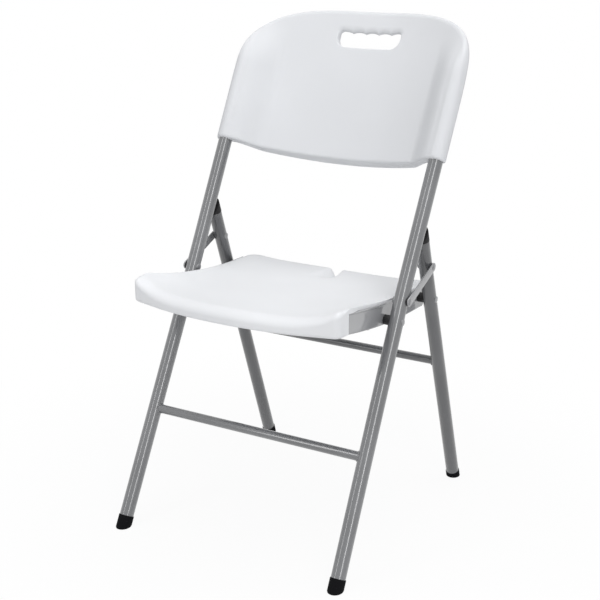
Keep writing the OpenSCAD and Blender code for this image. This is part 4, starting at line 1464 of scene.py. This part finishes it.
@dataclass
class Studio:
    """Pale floor, soft light from above and the camera."""

    eye: tuple[float, float, float] = (1.014508, -1.742179, 1.021646)
    right: tuple[float, float, float] = (0.8635, 0.5043, 0.0)
    up: tuple[float, float, float] = (-0.1521, 0.2605, 0.9534)
    lens: float = 71.44
    sensor: float = 36.0
    shift: Point = (-0.5 / 600, 0.5 / 600)
    floor_half: float = 40.0
    floor_z: float = -0.0005
    aim: tuple[float, float, float] = (0.0, 0.0, 0.45)
    white: Colour = (1.0, 1.0, 1.0)
    paper: Colour = (0.86, 0.86, 0.86)
    sky_low: Colour = (0.05, 0.05, 0.05)
    sky_high: Colour = (0.86, 0.86, 0.88)
    sky_level: float = 0.43
    sky_slope: tuple[float, float, float] = (0.38, 0.18, 0.22)

    def camera(self) -> None:
        """Camera at the eye, with its axes given by right and up."""
        data = bpy.data.cameras.new("camera")
        data.lens, data.sensor_width = self.lens, self.sensor
        data.shift_x, data.shift_y = self.shift
        data.clip_end = 5 * self.floor_half
        right, up = Vector(self.right).normalized(), Vector(self.up).normalized()
        back = right.cross(up).normalized()
        up = back.cross(right)
        turn = Matrix((right, up, back)).transposed().to_4x4()
        camera = bpy.data.objects.new("camera", data)
        camera.matrix_world = Matrix.Translation(self.eye) @ turn
        bpy.context.scene.collection.objects.link(camera)
        bpy.context.scene.camera = camera

    def floor(self) -> None:
        """Wide level floor that glows white to the camera and reflections and keeps a soft shadow."""
        h, z = self.floor_half, self.floor_z
        corners = np.array([[-h, -h, z], [h, -h, z], [h, h, z], [-h, h, z]])
        floor = new_object("floor", corners, [[0, 1, 2, 3]])
        s = Shader.material("floor_paper")
        camera, glossy, through = s.rays()
        reach = s.raw("ShaderNodeVectorMath", {"operation": "LENGTH"}, s.place())
        far = Sock(s, reach.outputs["Value"]).between(0.30, 0.9)
        share = camera * (0.93 + 0.07 * far) + glossy + through
        paper = s.add("ShaderNodeBsdfDiffuse", {}, Color=self.paper)
        glow = s.add("ShaderNodeEmission", {}, Color=self.white, Strength=1.0)
        surface = s.add("ShaderNodeMixShader", {}, share, paper, glow)
        s.raw("ShaderNodeOutputMaterial", {}, surface)
        floor.data.materials.append(s.owner)

    def world(self) -> None:
        """Sky, brighter above, to the right and in front, and white to the camera and to reflections."""
        s = Shader(bpy.data.worlds.new("studio"))
        bpy.context.scene.world = s.owner
        camera, glossy, through = s.rays()
        where = Sock(s, s.raw("ShaderNodeTexCoord", {}).outputs["Generated"])
        axes = s.raw("ShaderNodeSeparateXYZ", {}, where)
        x, y, z = (Sock(s, axes.outputs[k]) for k in "XYZ")
        to_right, to_front, to_top = self.sky_slope
        level = self.sky_level + to_right * x - to_front * y + to_top * z
        sky = s.add("ShaderNodeValToRGB", {"stops": [(0.0, self.sky_low), (1.0, self.sky_high)]}, level)
        soft = s.add("ShaderNodeBackground", {}, Color=sky)
        white = s.add("ShaderNodeBackground", {}, Color=self.white)
        surface = s.add("ShaderNodeMixShader", {}, camera + glossy + through, soft, white)
        s.raw("ShaderNodeOutputWorld", {}, surface)

    def lamp(self, name: str, at: tuple[float, float, float], size: Point, power: float) -> None:
        """Soft box that looks at the middle of the chair.

        Args:
            name: Name of the lamp.
            at: Its place in metres.
            size: Width and height in metres.
            power: Power in watts.
        """
        data = bpy.data.lights.new(name, "AREA")
        data.shape, data.size, data.size_y, data.energy = "RECTANGLE", *size, power
        lamp = bpy.data.objects.new(name, data)
        lamp.location = at
        aim = Vector(self.aim) - Vector(at)
        lamp.rotation_euler = aim.to_track_quat("-Z", "Y").to_euler()
        bpy.context.scene.collection.objects.link(lamp)

    def build(self) -> None:
        """Sets the whole scene round the chair."""
        bpy.context.scene.view_settings.view_transform = "Standard"
        self.camera()
        self.floor()
        self.world()
        self.lamp("key", (2.21, -1.99, 1.90), (0.60, 2.6), 22.0)
        self.lamp("top", (0.1, 0.1, 3.0), (2.2, 2.2), 33.0)
        self.lamp("strip", (-0.95, -1.88, 1.85), (0.30, 2.4), 8.0)


def main() -> None:
    """Builds the chair and its studio in order."""
    logging.basicConfig(level=logging.INFO, format="%(name)s: %(message)s")
    for part in (FrontFrame(), BackPanel(), SeatShell(), RearFrame(), Links(), Studio()):
        part.build()


if __name__ == "__main__":
    main()
